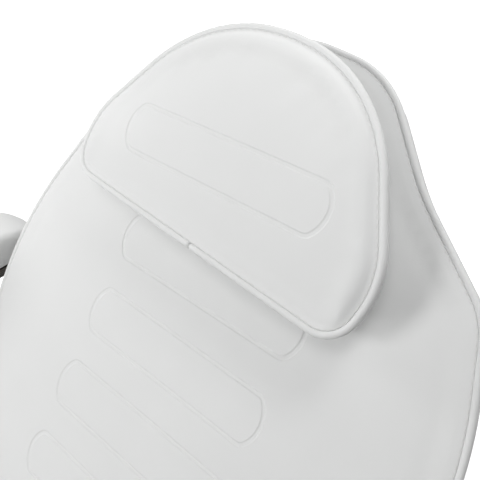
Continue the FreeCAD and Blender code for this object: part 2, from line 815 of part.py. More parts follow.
back_low = back_seam - cushion_thick
back_frame_top = back_low - board_thick
back_frame_low = back_frame_top - tube_height
back_shape = mirrored([
    (0, back_length, back_top_round), (back_head_half, back_head_at, back_head_round),
    (back_waist_half, back_waist_at, back_waist_round), (back_neck_in, back_neck_at, back_neck_round),
    (back_shoulder_half, back_shoulder_at, back_shoulder_round),
    (back_foot_half, back_start, back_foot_round)])
back_panels = [back_panel_at + panel_pitch * i for i in range(panel_count)]
back_pad = cushion(back_shape, back_low, back_seam, back_seam + crown, side_tuck, crown_inset,
                   back_panels, 0)
save("back_cushion", raise_back(back_pad))
save("back_piping", raise_back(piping(back_shape, back_seam)))
save("back_board", raise_back(prism(inset(back_shape, board_inset), back_frame_top, back_low)))
back_rail_start = back_start + back_rail_in
back_rail = tube_y(shift_rail, back_rail_start, back_rail_end, back_frame_low)
save("back_rails", raise_back(pair(back_rail)))
back_cross_at = back_rail_start + back_cross_in
save("back_crosses", raise_back(Part.makeCompound([
    tube_x(-shift_rail, shift_rail, back_cross_at, back_frame_low),
    tube_x(-shift_rail, shift_rail, back_rail_end - 2 * tube_width, back_frame_low)])))
hinge_reach = back_rail_start + back_hinge_reach
hinge_low = back_frame_low + hinge_arm_edge
hinge_high = back_frame_top - hinge_arm_edge
arm_round = arm_disc - broken_edge
back_arm = plate_x([
    (-arm_disc, hinge_low, hinge_arm_heel), (hinge_reach, hinge_low, hinge_arm_corner),
    (hinge_reach, hinge_high, hinge_arm_corner), (arm_disc, hinge_high, hinge_arm_crook),
    (arm_disc, arm_disc, arm_round), (-arm_disc, arm_disc, arm_round)], moving_inner, moving_outer)
back_arm = back_arm.cut(rod_x(hinge_pin_radius + pin_fit, moving_inner, moving_outer, 0, 0))
save("back_hinge_arms", raise_back(pair(back_arm)))

# Hook-and-loop strips that hold the pillow
strips = []
for i in range(2):
    low = tape_low + tape_pitch * i
    strip = rectangle(-tape_length / 2, tape_length / 2, low, low + tape_width, tape_corner)
    strips.append(prism(strip, back_seam + crown, back_seam + crown + tape_thick))
loop_tapes = Part.makeCompound(strips)
hook_tapes = loop_tapes.translated(V(0, 0, tape_thick))
save("loop_tapes", raise_back(loop_tapes))


# Head pillow, set a little askew on the back
def turn_pillow(shape):
    shape.rotate(V(0, pillow_turn_at, 0), AXIS_Z, pillow_turn)
    return raise_back(shape)


pillow_shape = mirrored([
    (0, pillow_top, pillow_top_round), (pillow_dome_half, pillow_dome_at, pillow_dome_round),
    (pillow_half_width, pillow_wide_at, pillow_wide_round),
    (pillow_foot_half, pillow_low, pillow_foot_round)])
pillow_pad = cushion(pillow_shape, pillow_low_n, pillow_seam, pillow_top_n, pillow_taper, crown_inset,
                     [pillow_panel_at], pillow_panel_turn)
save("pillow_cushion", turn_pillow(pillow_pad))
save("pillow_piping", turn_pillow(piping(pillow_shape, pillow_seam)))
save("hook_tapes", raise_back(hook_tapes))


# Leg rest, drawn flat about its pivot and then lowered
def lower_leg(shape):
    shape.rotate(ORIGIN, AXIS_X, leg_angle)
    shape.translate(V(0, leg_pivot_y, leg_pivot_z))
    return shape


leg_low = leg_seam - cushion_thick
leg_frame_top = leg_low - board_thick
leg_frame_low = leg_frame_top - tube_height
leg_shape = mirrored([
    (leg_knee_half, -leg_start, leg_knee_round), (leg_calf_half, -leg_calf_at, leg_calf_round),
    (leg_foot_half, -leg_length, leg_foot_round)])
leg_panels = [-leg_panel_at - panel_pitch * i for i in range(panel_count)]
leg_pad = cushion(leg_shape, leg_low, leg_seam, leg_seam + crown, side_tuck, crown_inset, leg_panels, 0)
save("leg_cushion", lower_leg(leg_pad))
save("leg_piping", lower_leg(piping(leg_shape, leg_seam)))
save("leg_board", lower_leg(prism(inset(leg_shape, board_inset), leg_frame_top, leg_low)))
leg_rail = tube_y(shift_rail, -leg_rail_end, -leg_rail_start, leg_frame_low)
save("leg_rails", lower_leg(pair(leg_rail)))
leg_cross_at = leg_lug_at - tube_width / 2
save("leg_crosses", lower_leg(Part.makeCompound([
    tube_x(-shift_rail, shift_rail, -leg_cross_at - tube_width, leg_frame_low),
    tube_x(-shift_rail, shift_rail, -leg_rail_end + tube_width, leg_frame_low)])))
leg_arm_end = -leg_rail_start - leg_hinge_reach
leg_arm = plate_x([
    (leg_arm_end, -arm_disc, hinge_arm_corner), (arm_disc, -arm_disc, arm_round),
    (arm_disc, arm_disc, arm_round), (leg_arm_end, arm_disc, hinge_arm_corner)], moving_inner, moving_outer)
leg_arm = leg_arm.cut(rod_x(hinge_pin_radius + pin_fit, moving_inner, moving_outer, 0, 0))
save("leg_hinge_arms", lower_leg(pair(leg_arm)))

# Gas struts: base brackets, cylinders, rods and the lugs they push on
strut_eye_thick = 2.0 * strut_radius + strut_eye_over
eye_low = strut_plane - strut_eye_thick / 2
eye_high = strut_plane + strut_eye_thick / 2
lug_low = eye_high + open_pivot_gap
lug_high = lug_low + strut_lug_thick


def strut_bracket(y, z):
    # Plate hung under the mounting plate, with the stub pin that carries the cylinder's eye.
    low = z - bracket_foot_drop
    plate = plate_x([
        (y - bracket_foot_half, low, bracket_foot_round), (y + bracket_foot_half, low, bracket_foot_round),
        (y + bracket_root_half, mounting_low, broken_edge),
        (y - bracket_root_half, mounting_low, broken_edge)], lug_low, lug_high)
    clip_high = eye_low - strut_clip_gap
    pin = rod_x(strut_pin_radius, clip_high, lug_low, y, z)
    clip = rod_x(strut_pin_radius + strut_clip_rim, clip_high - strut_clip_thick, clip_high, y, z)
    return plate.fuse(pin).fuse(clip)


def strut_cylinder(length):
    # Closed tube with an eye at its foot, along Y from the eye's centre.
    foot = strut_eye_radius - round_edge
    body = revolved([
        (0, foot, 0), (strut_radius - strut_shoulder_in, foot, broken_edge),
        (strut_radius, strut_eye_radius + strut_shoulder, strut_shoulder_round),
        (strut_radius, length, round_edge), (0, length, 0)])
    bore_start = V(0, 0, strut_bore_start * strut_eye_radius)
    body = body.cut(Part.makeCylinder(strut_rod_radius + pin_fit, length, bore_start))
    body.rotate(ORIGIN, AXIS_X, -90)
    eye = rod_x(strut_eye_radius, -strut_eye_thick / 2, strut_eye_thick / 2, 0, 0)
    body = body.fuse(eye)
    return body.cut(rod_x(strut_pin_radius + pin_fit, -strut_eye_thick, strut_eye_thick, 0, 0))


def strut_rod(reach, tail):
    # Polished rod whose far end carries an eye and the pin that points at the lug.
    length = reach - strut_eye_radius + round_edge - tail
    rod = Part.makeCylinder(strut_rod_radius, length, V(0, tail, 0), AXIS_Y)
    side = strut_eye_thick / 2
    eye = rod_x(strut_eye_radius, -side, side, reach, 0)
    head = rod_x(strut_eye_radius - strut_clip_rim, -side - strut_clip_thick, -side, reach, 0)
    return rod.fuse(eye).fuse(head)


def set_strut(shape, side, y, z, angle):
    shape.rotate(ORIGIN, AXIS_X, angle)
    shape.translate(V(strut_plane, y, z))
    return shape if side > 0 else mirror_x(shape)


save("strut_brackets", Part.makeCompound([
    strut_bracket(back_strut_y, back_strut_z), mirror_x(strut_bracket(leg_strut_y, leg_strut_z))]))
back_turn = math.radians(back_angle)
back_eye_y = back_pivot_y + back_lug_at * math.cos(back_turn) + back_lug_drop * math.sin(back_turn)
back_eye_z = back_pivot_z + back_lug_at * math.sin(back_turn) - back_lug_drop * math.cos(back_turn)
back_reach = math.hypot(back_eye_y - back_strut_y, back_eye_z - back_strut_z)
back_slope = math.degrees(math.atan2(back_eye_z - back_strut_z, back_eye_y - back_strut_y))
back_cylinder = strut_cylinder(back_strut_body)
back_rod = strut_rod(back_reach, back_strut_body - back_rod_overlap)
save("back_strut_body", set_strut(back_cylinder, 1, back_strut_y, back_strut_z, back_slope))
save("back_strut_rod", set_strut(back_rod, 1, back_strut_y, back_strut_z, back_slope))
lug_hole = strut_pin_radius + bolt_hole_clearance
back_lug = plate_x([
    (back_lug_at - lug_half, -back_lug_drop - lug_half, lug_round),
    (back_lug_at + lug_half, -back_lug_drop - lug_half, lug_round),
    (back_cross_at + tube_width, back_frame_low, broken_edge),
    (back_cross_at, back_frame_low, broken_edge)], lug_low, lug_high)
back_lug = back_lug.cut(rod_x(lug_hole, lug_low, lug_high, back_lug_at, -back_lug_drop))
save("back_strut_lug", raise_back(back_lug))
leg_turn = math.radians(leg_angle)
leg_eye_y = leg_pivot_y - leg_lug_at * math.cos(leg_turn) + leg_lug_drop * math.sin(leg_turn)
leg_eye_z = leg_pivot_z - leg_lug_at * math.sin(leg_turn) - leg_lug_drop * math.cos(leg_turn)
leg_reach = math.hypot(leg_eye_y - leg_strut_y, leg_eye_z - leg_strut_z)
leg_slope = math.degrees(math.atan2(leg_eye_z - leg_strut_z, leg_eye_y - leg_strut_y))
leg_cylinder = strut_cylinder(leg_strut_body)
leg_rod = strut_rod(leg_reach, leg_strut_body - leg_rod_overlap)
save("leg_strut_body", set_strut(leg_cylinder, -1, leg_strut_y, leg_strut_z, leg_slope))
save("leg_strut_rod", set_strut(leg_rod, -1, leg_strut_y, leg_strut_z, leg_slope))
leg_lug = plate_x([
    (-leg_lug_at - lug_half, -leg_lug_drop - lug_half, lug_round),
    (-leg_lug_at + lug_half, -leg_lug_drop - lug_half, lug_round),
    (-leg_lug_at + lug_root_half, leg_frame_low, broken_edge),
    (-leg_lug_at - lug_root_half, leg_frame_low, broken_edge)], -lug_high, -lug_low)
leg_lug = leg_lug.cut(rod_x(lug_hole, -lug_high, -lug_low, -leg_lug_at, -leg_lug_drop))
save("leg_strut_lug", lower_leg(leg_lug))

# Armrests: outrigger with socket, sliding post, board, pad and clamp knob
post_x = arm_inner + arm_width / 2
post_y = outrigger_y + tube_width / 2
socket_low = frame_low - socket_drop
socket_top = socket_low + socket_height
knob_z = (frame_top + socket_top) / 2
board_low = arm_top - arm_pad_thick - arm_board_thick
boss_out = post_x + socket_radius + boss_length
socket_foot = V(post_x, post_y, socket_low)
outrigger = tube_x(hinge_inner, post_x, outrigger_y, frame_low)
outrigger = outrigger.fuse(Part.makeCylinder(socket_radius, socket_height, socket_foot))
outrigger = outrigger.fuse(rod_x(boss_radius, post_x, boss_out, post_y, knob_z))
outrigger = outrigger.cut(Part.makeCylinder(post_radius + pin_fit, socket_height, socket_foot))
outrigger = outrigger.cut(rod_x(knob_screw + pin_fit, post_x, boss_out, post_y, knob_z))
save("outrigger_right", outrigger)
save("outrigger_left", mirror_x(outrigger))

plate_low = board_low - arm_plate_thick
post_low = socket_low - post_tail
post_length = plate_low - post_low
post_foot = V(post_x, post_y, post_low)
post = Part.makeCylinder(post_radius, post_length, post_foot)
post = post.cut(Part.makeCylinder(post_radius - post_wall, post_length, post_foot))
collar_foot = V(post_x, post_y, socket_top)
collar = Part.makeCylinder(socket_radius, collar_height, collar_foot)
collar = collar.cut(Part.makeCylinder(post_radius - collar_bite, collar_height, collar_foot))
half_plate = arm_plate_width / 2
arm_plate = rectangle(post_x - half_plate, post_x + half_plate, arm_plate_front, arm_plate_rear,
                      arm_plate_corner)
post = post.fuse(collar).fuse(prism(arm_plate, plate_low, board_low))
save("arm_post_right", post)
save("arm_post_left", mirror_x(post))
arm_shape = rectangle(arm_inner, arm_inner + arm_width, arm_front, arm_rear, arm_corner)
arm_board = prism(inset(arm_shape, arm_board_inset), board_low, board_low + arm_board_thick)
save("arm_board_right", arm_board)
save("arm_board_left", mirror_x(arm_board))

pad_floor = board_low + arm_board_thick
arm_middle = (arm_front + arm_rear) / 2
arm_half = (arm_rear - arm_front) / 2
ribs = []
for i in range(arm_stations):
    swing = math.cos(math.pi * i / (arm_stations - 1))
    reach = abs(arm_end_share * swing)
    half = arm_width / 2 * (1.0 - reach ** arm_plan_power) ** (1.0 / arm_plan_root)
    high = arm_pad_thick * (1.0 - reach ** arm_side_power) ** (1.0 / arm_side_root)
    edge = min(half, high) * arm_edge_share
    rib = outline([
        (-half, 0, arm_seam_round), (half, 0, arm_seam_round), (half, high, edge), (-half, high, edge)])
    rib.rotate(ORIGIN, AXIS_X, 90)
    rib.translate(V(post_x, arm_middle - arm_half * swing, pad_floor))
    ribs.append(rib)
arm_pad = Part.makeLoft(ribs, True, False)
save("arm_pad_right", arm_pad)
save("arm_pad_left", mirror_x(arm_pad))

knob = Part.makeCylinder(knob_radius, knob_thick)
notch_at = knob_radius + knob_lobe * knob_lobe_share
for i in range(knob_lobes):
    angle = math.radians(360.0 / knob_lobes * i)
    notch = V(notch_at * math.cos(angle), notch_at * math.sin(angle), 0)
    knob = knob.cut(Part.makeCylinder(knob_lobe, knob_thick, notch))
neck_low = V(0, 0, -knob_neck)
neck = Part.makeCone(knob_radius - knob_neck_in, knob_screw + knob_screw_rim, knob_neck, neck_low)
screw_length = boss_out - post_x - post_radius - broken_edge
screw_low = -screw_length - knob_neck - knob_gap
knob = knob.fuse(neck).fuse(Part.makeCylinder(knob_screw, screw_length + knob_neck, V(0, 0, screw_low)))
knob.rotate(ORIGIN, AXIS_Y, 90)
knob.translate(V(boss_out + knob_neck + knob_gap, post_y, knob_z))
save("arm_knob_right", knob)
save("arm_knob_left", mirror_x(knob))


# Release levers on the right rail
def lever(y):
    # Cranked rod that turns in the rail and ends in a handle towards the front.
    corner = lever_out - lever_bend
    mid = lever_bend * math.sin(math.radians(45))
    start = V(rail_inner - lever_inside, y, frame_mid)
    bend = V(corner, y, frame_mid)
    crook = V(corner + mid, y - lever_bend + mid, frame_mid)
    handle = V(lever_out, y - lever_bend, frame_mid)
    tip = V(lever_out, y - lever_bend - lever_handle, frame_mid)
    crank = Part.Arc(bend, crook, handle).toShape()
    path = Part.Wire([Part.makeLine(start, bend), crank, Part.makeLine(handle, tip)])
    ring = Part.Wire(Part.makeCircle(lever_radius, start, AXIS_X))
    rod = path.makePipeShell([ring], True, False)
    collar_in = hinge_inner + fine_edge
    collar = rod_x(lever_radius + lever_collar_rim, collar_in, collar_in + lever_collar_thick, y, frame_mid)
    clip_in = rail_inner - fine_edge
    clip = rod_x(lever_radius + lever_clip_rim, clip_in - lever_clip_thick, clip_in, y, frame_mid)
    return rod.fuse(collar).fuse(clip)


def grip(y):
    end = grip_length - grip_end
    shape = revolved([
        (lever_radius, 0, 0), (grip_radius - grip_neck_in, 0, round_edge),
        (grip_radius, grip_length * grip_belly_share, grip_belly_round),
        (grip_radius - grip_tip_in, grip_length, grip_tip_round), (0, grip_length, 0),
        (0, end, 0), (lever_radius, end, 0)])
    shape.rotate(ORIGIN, AXIS_X, 90)
    shape.translate(V(lever_out, y - lever_bend - lever_handle + end, frame_mid))
    return shape


save("back_lever", lever(lever_y))
save("back_lever_grip", grip(lever_y))
save("leg_lever", lever(-lever_y))
save("leg_lever_grip", grip(-lever_y))
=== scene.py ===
import json
import math

import bmesh
import bpy
import numpy as np
from bpy.props import FloatProperty, FloatVectorProperty, IntProperty, PointerProperty
from bpy.types import Operator, Panel, PropertyGroup
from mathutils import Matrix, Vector
from mathutils.bvhtree import BVHTree
from mathutils.geometry import delaunay_2d_cdt


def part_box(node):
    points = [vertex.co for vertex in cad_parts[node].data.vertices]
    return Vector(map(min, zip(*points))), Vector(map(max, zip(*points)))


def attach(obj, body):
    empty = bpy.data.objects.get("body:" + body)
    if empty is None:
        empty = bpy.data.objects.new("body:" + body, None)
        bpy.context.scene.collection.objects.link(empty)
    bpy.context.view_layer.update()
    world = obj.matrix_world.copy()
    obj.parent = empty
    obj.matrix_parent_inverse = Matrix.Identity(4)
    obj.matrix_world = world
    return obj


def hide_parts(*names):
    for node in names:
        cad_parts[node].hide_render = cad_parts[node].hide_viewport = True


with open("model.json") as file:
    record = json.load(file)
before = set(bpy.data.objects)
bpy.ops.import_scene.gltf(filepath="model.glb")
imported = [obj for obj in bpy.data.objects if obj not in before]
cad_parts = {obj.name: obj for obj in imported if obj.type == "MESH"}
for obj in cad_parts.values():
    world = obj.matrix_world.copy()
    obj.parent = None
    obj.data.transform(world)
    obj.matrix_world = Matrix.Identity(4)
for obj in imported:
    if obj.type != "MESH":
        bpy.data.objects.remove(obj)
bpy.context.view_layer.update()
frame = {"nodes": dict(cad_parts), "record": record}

bl_info = {
    "name": "Treatment chair upholstery",
    "version": (1, 0, 0),
    "blender": (4, 5, 0),
    "location": "View3D > Sidebar > Chair",
    "description": "Upholsters and finishes a hydraulic treatment chair over its frame",
    "category": "Object",
}

# Sizes here are in millimetres, those of a cushion in its hinge's plane, unless a comment says otherwise.
MM = 0.001

# Right half of each outline, from the top down: across, along, corner radius.
OUTLINES = {
    "seat": [(255, 230, 45), (272, 20, 700), (255, -232, 45)],
    "back": [(0, 695, 170), (87, 686, 117), (171, 591, 300), (268, 515, 80), (328, 343, 400), (255, 15, 40)],
    "pillow": [(0, 679, 164), (109, 672, 171), (202, 515, 95), (190, 447, 36)],
    "leg": [(255, 10, 40), (240, -330, 500), (185, -478, 90)],
}
OUTLINE_STEP = 4.0

# Hinge of each cushion (y, z in metres) and its tilt at rest in degrees.
PLACES = {
    "seat": ((0.0, 0.0), 0.0),
    "back": ((0.250, 0.580), 51.0),
    "pillow": ((0.250, 0.580), 51.0),
    "leg": ((-0.256, 0.485), 40.0),
}

# Underside, sewn edge and crown of each cushion over its hinge plane.
LEVELS = {
    "seat": (520.0, 600.0, 610.0),
    "back": (-60.0, 20.0, 30.0),
    "pillow": (33.0, 82.0, 100.0),
    "leg": (35.0, 115.0, 125.0),
}

# How far the sides are drawn in at the underside, and how far from the edge the crown is reached.
SIDE_TUCK = {"seat": 26.0, "back": 26.0, "pillow": 30.0, "leg": 26.0}
CROWN_REACH = {"seat": 70.0, "back": 80.0, "pillow": 110.0, "leg": 70.0}
CROWN_POWER = 1.8

# Share of the crown that already rises close to the edge.
EDGE_SHARE = {"seat": 0.0, "back": 0.0, "pillow": 0.45, "leg": 0.0}
EDGE_REACH = 24.0

# Section of the foot: inset past the tuck, level over the underside.
FOOT = ((4.5, 0.0), (1.8, 0.6), (0.4, 3.0))

# Boxed side between foot and neck, by its share of the height.
BOX_SHARES = np.linspace(0.1, 0.92, 9)
BOX_POWER = 1.5
BOX_INSET = 3.0
BOX_BULGE = 2.2
BOX_LEAST = 2.4

# Section of the neck that holds the welt, up to the start of the face: inset, level over the sewn edge.
NECK = ((2.6, -6.0), (3.4, -4.8), (6.2, -4.2), (7.9, -2.2), (8.05, 0.4),
        (7.5, 1.9), (6.9, 2.65), (7.5, 3.1), (9.4, 3.6))
FACE_INSET, FACE_RISE = NECK[-1]
FACE_RINGS = (11.5, 14.0, 17.5)
FACE_SPACING = 7.0
FACE_CLEARANCE = 4.5

# Rows of loose points lie this share of their spacing apart, for nearly even triangles.
ROW_SHARE = 0.866

# Coarse form that the simulation fills, and where it is held: at the foot and along the sewn edge.
FORM_STEP = 9.0
FORM_FACE_INSET = 18.0
FORM_SPACING = 14.0
FORM_CLEARANCE = 8.0
HELD_FOOT = 7.0
HELD_SEAM = 9.0
HELD_INSET = 13.0
SWELL_LIMIT = 8.0

# Slack that the foam takes up, the most it swells past that, and the insets where this starts and is full.
SETTLE = 4.0
SWELL_MOST = 2.5
SWELL_ZONE = (14.0, 40.0)

# Level over the crown from which the filled form is looked for.
LOOK_DOWN = 60.0

# Soft waves of the face, across and along.
WAVE_HEIGHT = 0.35
WAVE_LENGTHS = (61.0, 47.0)
WAVE_SHIFTS = (0.7, 0.3)

# Gathers of the seam: they wander and fade along it, and die out across it.
GATHER_HEIGHT = 0.22
GATHER_LENGTH = 3.1
GATHER_WANDER = 1.9
WANDER_LENGTH = 37.0
GATHER_FADE = 0.4
FADE_LENGTH = 53.0
GATHER_INSET = 9.0
GATHER_REACH = 7.0

# Embossed panels: their middles along each cushion, and what differs on the pillow.
PANEL_PITCH = 96.0
PANELS = {
    "seat": [-144.0 + PANEL_PITCH * row for row in range(4)],
    "back": [130.0 + PANEL_PITCH * row for row in range(4)],
    "pillow": [535.0],
    "leg": [-90.0 - PANEL_PITCH * row for row in range(4)],
}
PILLOW_PANEL_TURN = math.radians(4.0)
PILLOW_PANEL_TRIM = 4.0
PANEL_SPACING = 3.0
PANEL_SOFTNESS = 3.2
PANEL_SOFT_REACH = 9
PANEL_NEAR = 70.0
FAR = 1000.0

# Pressed line round a panel: reach of its slopes and their shoulders, room beside it, wide dip around it.
LINE_SLOPE = 0.4
LINE_SHOULDER = 1.2
LINE_CLEARANCE = 4.0
WIDE_DIP = 0.05
WIDE_REACH = 9.0

# The pillow lies a little askew, and a fold slopes down to its lower edge.
PILLOW_TURN_AT = 552.0
PILLOW_TURN = math.radians(-3.9)
PILLOW_FOOT = 447.0
FOLD_INSET = 6.0
FOLD_REACH = 54.0
FOLD_LOW = 1.2
FOLD_RISE = 15.2
FOLD_BLEND = 0.8
FOLD_SOFT = 0.6

# Welt, with a slight ripple, and its butt joint on the pillow's lower edge.
WELT_INSET = 4.0
WELT_STEP = 3.5
WELT_SIDES = 14
WELT_RIPPLE = 0.012
RIPPLE_LENGTHS = (2.3, 17.0)
JOINT_ACROSS = 7.0
JOINT_GAP = 0.28
JOINT_PINCH = 0.93
JOINT_STEPS = 4
JOINT_LIFTS = (0.5, -0.35)

# Stitches: place over the outline, and the thread's radius by its share of the length.
STITCH_INSET = 8.1
STITCH_LEVEL = 2.95
STITCH_ARCH = 0.25
STITCH_GAP = 0.05
STITCH_SIDES = 6
SEAM_STEP = 1.0
STITCH_SHAPE = ((0.0, 0.15), (0.22, 0.36), (0.5, 0.42), (0.78, 0.36), (1.0, 0.15))

# Armrest pads: power and root of the plan and side curves, and blunt ends (distance from the end, inset).
PAD_PLAN = (8.0, 3.0)
PAD_SIDE = (4.0, 2.6)
PAD_REACH = 0.97
PAD_BLUNT = 6.0
PAD_CAP = ((3.2, 1.2), (1.2, 3.4), (0.2, 6.5), (0.0, 10.0))
PAD_STATIONS = 61

# Section of an armrest pad: upper edge as a share of its size, radius at the foot, gap over the board, slack.
PAD_EDGE = 0.24
PAD_FOOT = 3.0
PAD_CORNER_POINTS = 9
PAD_PARTS = 46
PAD_POINTS = 72
PAD_GAP = 0.3
PAD_SLACK = 2.5
PAD_HELD = 4.5
PAD_SWELL_LIMIT = 3.0

# Fineness of the pebbled grain, and the usual range of a noise value.
COVER_GRAIN = 620.0
WELT_GRAIN = 800.0
NOISE_RANGE = (0.3, 0.7)

# Stage, in metres and degrees.
FLOOR_SIZE = 30.0
FLOOR_FADE = (0.7, 1.7)
CAMERA_PLACE = (0.3693, 0.1391, 1.3621)
CAMERA_TURN = (52.87, 0.13, 42.37)
UPPER_BACK = (0.0, 0.53, 1.02)

# Place, aim and width of each lamp.
LAMPS = {
    "main": ((0.51, -0.35, 2.39), UPPER_BACK, 0.5),
    "front": ((-0.51, -0.99, 1.60), UPPER_BACK, 0.5),
    "low": ((-0.76, -1.05, 0.88), UPPER_BACK, 0.5),
    "side": ((-0.69, 0.22, 1.27), UPPER_BACK, 0.25),
    "rear": ((-0.20, 1.94, 2.82), (-0.10, 0.45, 0.95), 1.0),
    "head": ((0.35, 0.60, 1.74), UPPER_BACK, 0.25),
}


# Settings that a user would change

class ChairCoverSettings(PropertyGroup):
    """Sizes and colours of the white covers."""

    cover_colour: FloatVectorProperty(
        name="Cover", description="Colour of the coated fabric", subtype="COLOR", size=3,
        min=0.0, max=1.0, default=(0.70, 0.704, 0.70))
    thread_colour: FloatVectorProperty(
        name="Thread", description="Colour of the sewing thread", subtype="COLOR", size=3,
        min=0.0, max=1.0, default=(0.66, 0.66, 0.65))
    piping_radius: FloatProperty(
        name="Piping radius", description="Radius of the welt round each cushion", unit="LENGTH",
        default=0.0039)
    panel_width: FloatProperty(
        name="Panel width", description="Straight length of an embossed panel", unit="LENGTH", default=0.236)
    panel_height: FloatProperty(
        name="Panel height", description="Height of an embossed panel", unit="LENGTH", default=0.0545)
    panel_bow: FloatProperty(
        name="Panel bow", description="How far the ends of a panel bow out", unit="LENGTH", default=0.012)
    line_width: FloatProperty(
        name="Line width", description="Width of the pressed line round a panel", unit="LENGTH",
        default=0.0042)
    line_depth: FloatProperty(
        name="Line depth", description="Depth of the pressed line round a panel", unit="LENGTH",
        default=0.00055)
    stitch_pitch: FloatProperty(
        name="Stitch pitch", description="Length of one stitch along a seam", unit="LENGTH", default=0.008)
    pressure: FloatProperty(
        name="Pressure", description="Pressure of the foam under the covers in the cloth simulation",
        default=4.0)
    voxel: FloatProperty(
        name="Voxel", description="Grid of the simulated cushions", unit="LENGTH", default=0.006)
    pad_voxel: FloatProperty(
        name="Pad voxel", description="Grid of the simulated armrest pads", unit="LENGTH", default=0.005)
    frames: IntProperty(
        name="Frames", description="Steps of the cloth simulation", default=20)


class ChairFinishSettings(PropertyGroup):
    """Colours of the frame, the pedestal and the small parts."""

    steel_paint: FloatVectorProperty(
        name="Frame paint", description="Powder coat of the steel frame", subtype="COLOR", size=3,
        min=0.0, max=1.0, default=(0.70, 0.704, 0.704))
    dark_paint: FloatVectorProperty(
        name="Dark paint", description="Paint of the pump and the struts", subtype="COLOR", size=3,
        min=0.0, max=1.0, default=(0.028, 0.028, 0.031))
    chrome: FloatVectorProperty(
        name="Chrome", description="Plating of the base and the column", subtype="COLOR", size=3,
        min=0.0, max=1.0, default=(0.55, 0.556, 0.56))
    steel: FloatVectorProperty(
        name="Bare steel", description="Pins, rods and bolts", subtype="COLOR", size=3,
        min=0.0, max=1.0, default=(0.56, 0.57, 0.58))
    board: FloatVectorProperty(
        name="Boards", description="Stained plywood under the cushions", subtype="COLOR", size=3,
        min=0.0, max=1.0, default=(0.055, 0.048, 0.042))
    rubber: FloatVectorProperty(
        name="Rubber", description="Floor mat, pedal pad and wiper", subtype="COLOR", size=3,
        min=0.0, max=1.0, default=(0.022, 0.022, 0.023))
    plastic: FloatVectorProperty(
        name="Plastic", description="Knobs and grips", subtype="COLOR", size=3,
        min=0.0, max=1.0, default=(0.025, 0.025, 0.026))
    tape: FloatVectorProperty(
        name="Tape", description="Hook-and-loop strips", subtype="COLOR", size=3,
        min=0.0, max=1.0, default=(0.63, 0.63, 0.62))


class ChairStageSettings(PropertyGroup):
    """Camera, floor and lamps."""

    lens: FloatProperty(
        name="Lens", description="Focal length of the camera", unit="CAMERA", default=47.25)
    floor_colour: FloatVectorProperty(
        name="Floor", description="Colour of the floor", subtype="COLOR", size=3,
        min=0.0, max=1.0, default=(0.80, 0.80, 0.80))
    floor_glow: FloatProperty(
        name="Floor glow", description="White that the camera adds to the floor by the chair",
        subtype="FACTOR", min=0.0, max=1.0, default=0.45)
    ambient: FloatProperty(
        name="Ambient", description="Light of the white room", subtype="FACTOR", min=0.0, max=1.0,
        default=0.26)
    main_power: FloatProperty(
        name="Main lamp", description="Power of the lamp in front and above", unit="POWER", default=4.7)
    front_power: FloatProperty(
        name="Front lamp", description="Power of the lamp at the front left", unit="POWER", default=8.5)
    low_power: FloatProperty(
        name="Low lamp", description="Power of the low lamp at the left", unit="POWER", default=4.8)
    side_power: FloatProperty(
        name="Side lamp", description="Power of the near lamp at the left", unit="POWER", default=1.5)
    head_power: FloatProperty(
        name="Head lamp", description="Power of the near lamp above the head", unit="POWER", default=1.7)
    rear_power: FloatProperty(
        name="Rear lamp", description="Power of the large lamp high behind the chair", unit="POWER",
        default=24.0)


# Lines in a cushion's plane

def corner_arc(before, corner, after, radius):
    """First point, last point and centre of the arc that rounds a corner."""
    to_before = (before - corner) / np.linalg.norm(before - corner)
    to_after = (after - corner) / np.linalg.norm(after - corner)
    half = math.acos(max(-1.0, min(1.0, float(to_before @ to_after)))) / 2.0
    reach = radius / math.tan(half)
    middle = (to_before + to_after) / np.linalg.norm(to_before + to_after)
    centre = corner + middle * radius / math.sin(half)
    return corner + to_before * reach, corner + to_after * reach, centre


def rounded_ring(corners, step):
    """Points and inward normals along a closed clockwise outline with rounded corners."""
    count = len(corners)
    radii = [corner[2] for corner in corners]
    flat = [np.array(corner[:2], float) for corner in corners]
    arcs = [corner_arc(flat[i - 1], flat[i], flat[(i + 1) % count], radii[i]) for i in range(count)]
    points, normals = [], []
    for i, (first, last, centre) in enumerate(arcs):
        start = math.atan2(first[1] - centre[1], first[0] - centre[0])
        sweep = math.atan2(last[1] - centre[1], last[0] - centre[0]) - start
        sweep = (sweep + math.pi) % (2.0 * math.pi) - math.pi
        side = 1.0 if sweep < 0 else -1.0
        steps = max(2, math.ceil(radii[i] * abs(sweep) / step))
        for k in range(steps):
            angle = start + sweep * k / steps
            ray = np.array((math.cos(angle), math.sin(angle)))
            points.append(centre + radii[i] * ray)
            normals.append(-side * ray)
        run = arcs[(i + 1) % count][0] - last
        length = np.linalg.norm(run)
        if length < 1e-6:
            continue
        steps = max(1, math.ceil(length / step))
        for k in range(steps):
            points.append(last + run * k / steps)
            normals.append(np.array((run[1], -run[0])) / length)
    return np.array(points), np.array(normals)


def outline(kind, step):
    """Points and inward normals along a cushion's whole outline, run clockwise."""
    half = OUTLINES[kind]
    left = [(-x, y, radius) for x, y, radius in reversed(half) if x > 0]
    return rounded_ring(left + half if half[0][0] == 0 else half + left, step)


def run_lengths(line):
    """Distance along a line from its start to each of its points."""
    return np.concatenate(([0.0], np.cumsum(np.linalg.norm(np.diff(line, axis=0), axis=1))))


def points_at(places, lengths, line):
    """Points of a line at the given distances along it."""
    return np.stack([np.interp(places, lengths, line[:, axis]) for axis in (0, 1)], 1)


def resampled(line, count):
    """The same closed line with a number of evenly spaced points."""
    closed = np.concatenate((line, line[:1]))
    lengths = run_lengths(closed)
    return points_at(np.linspace(0.0, lengths[-1], count, endpoint=False), lengths, closed)


def evened(line, spacing):
    """The same closed line with points at about an even spacing."""
    length = run_lengths(np.concatenate((line, line[:1])))[-1]
    return resampled(line, max(8, int(length / spacing)))


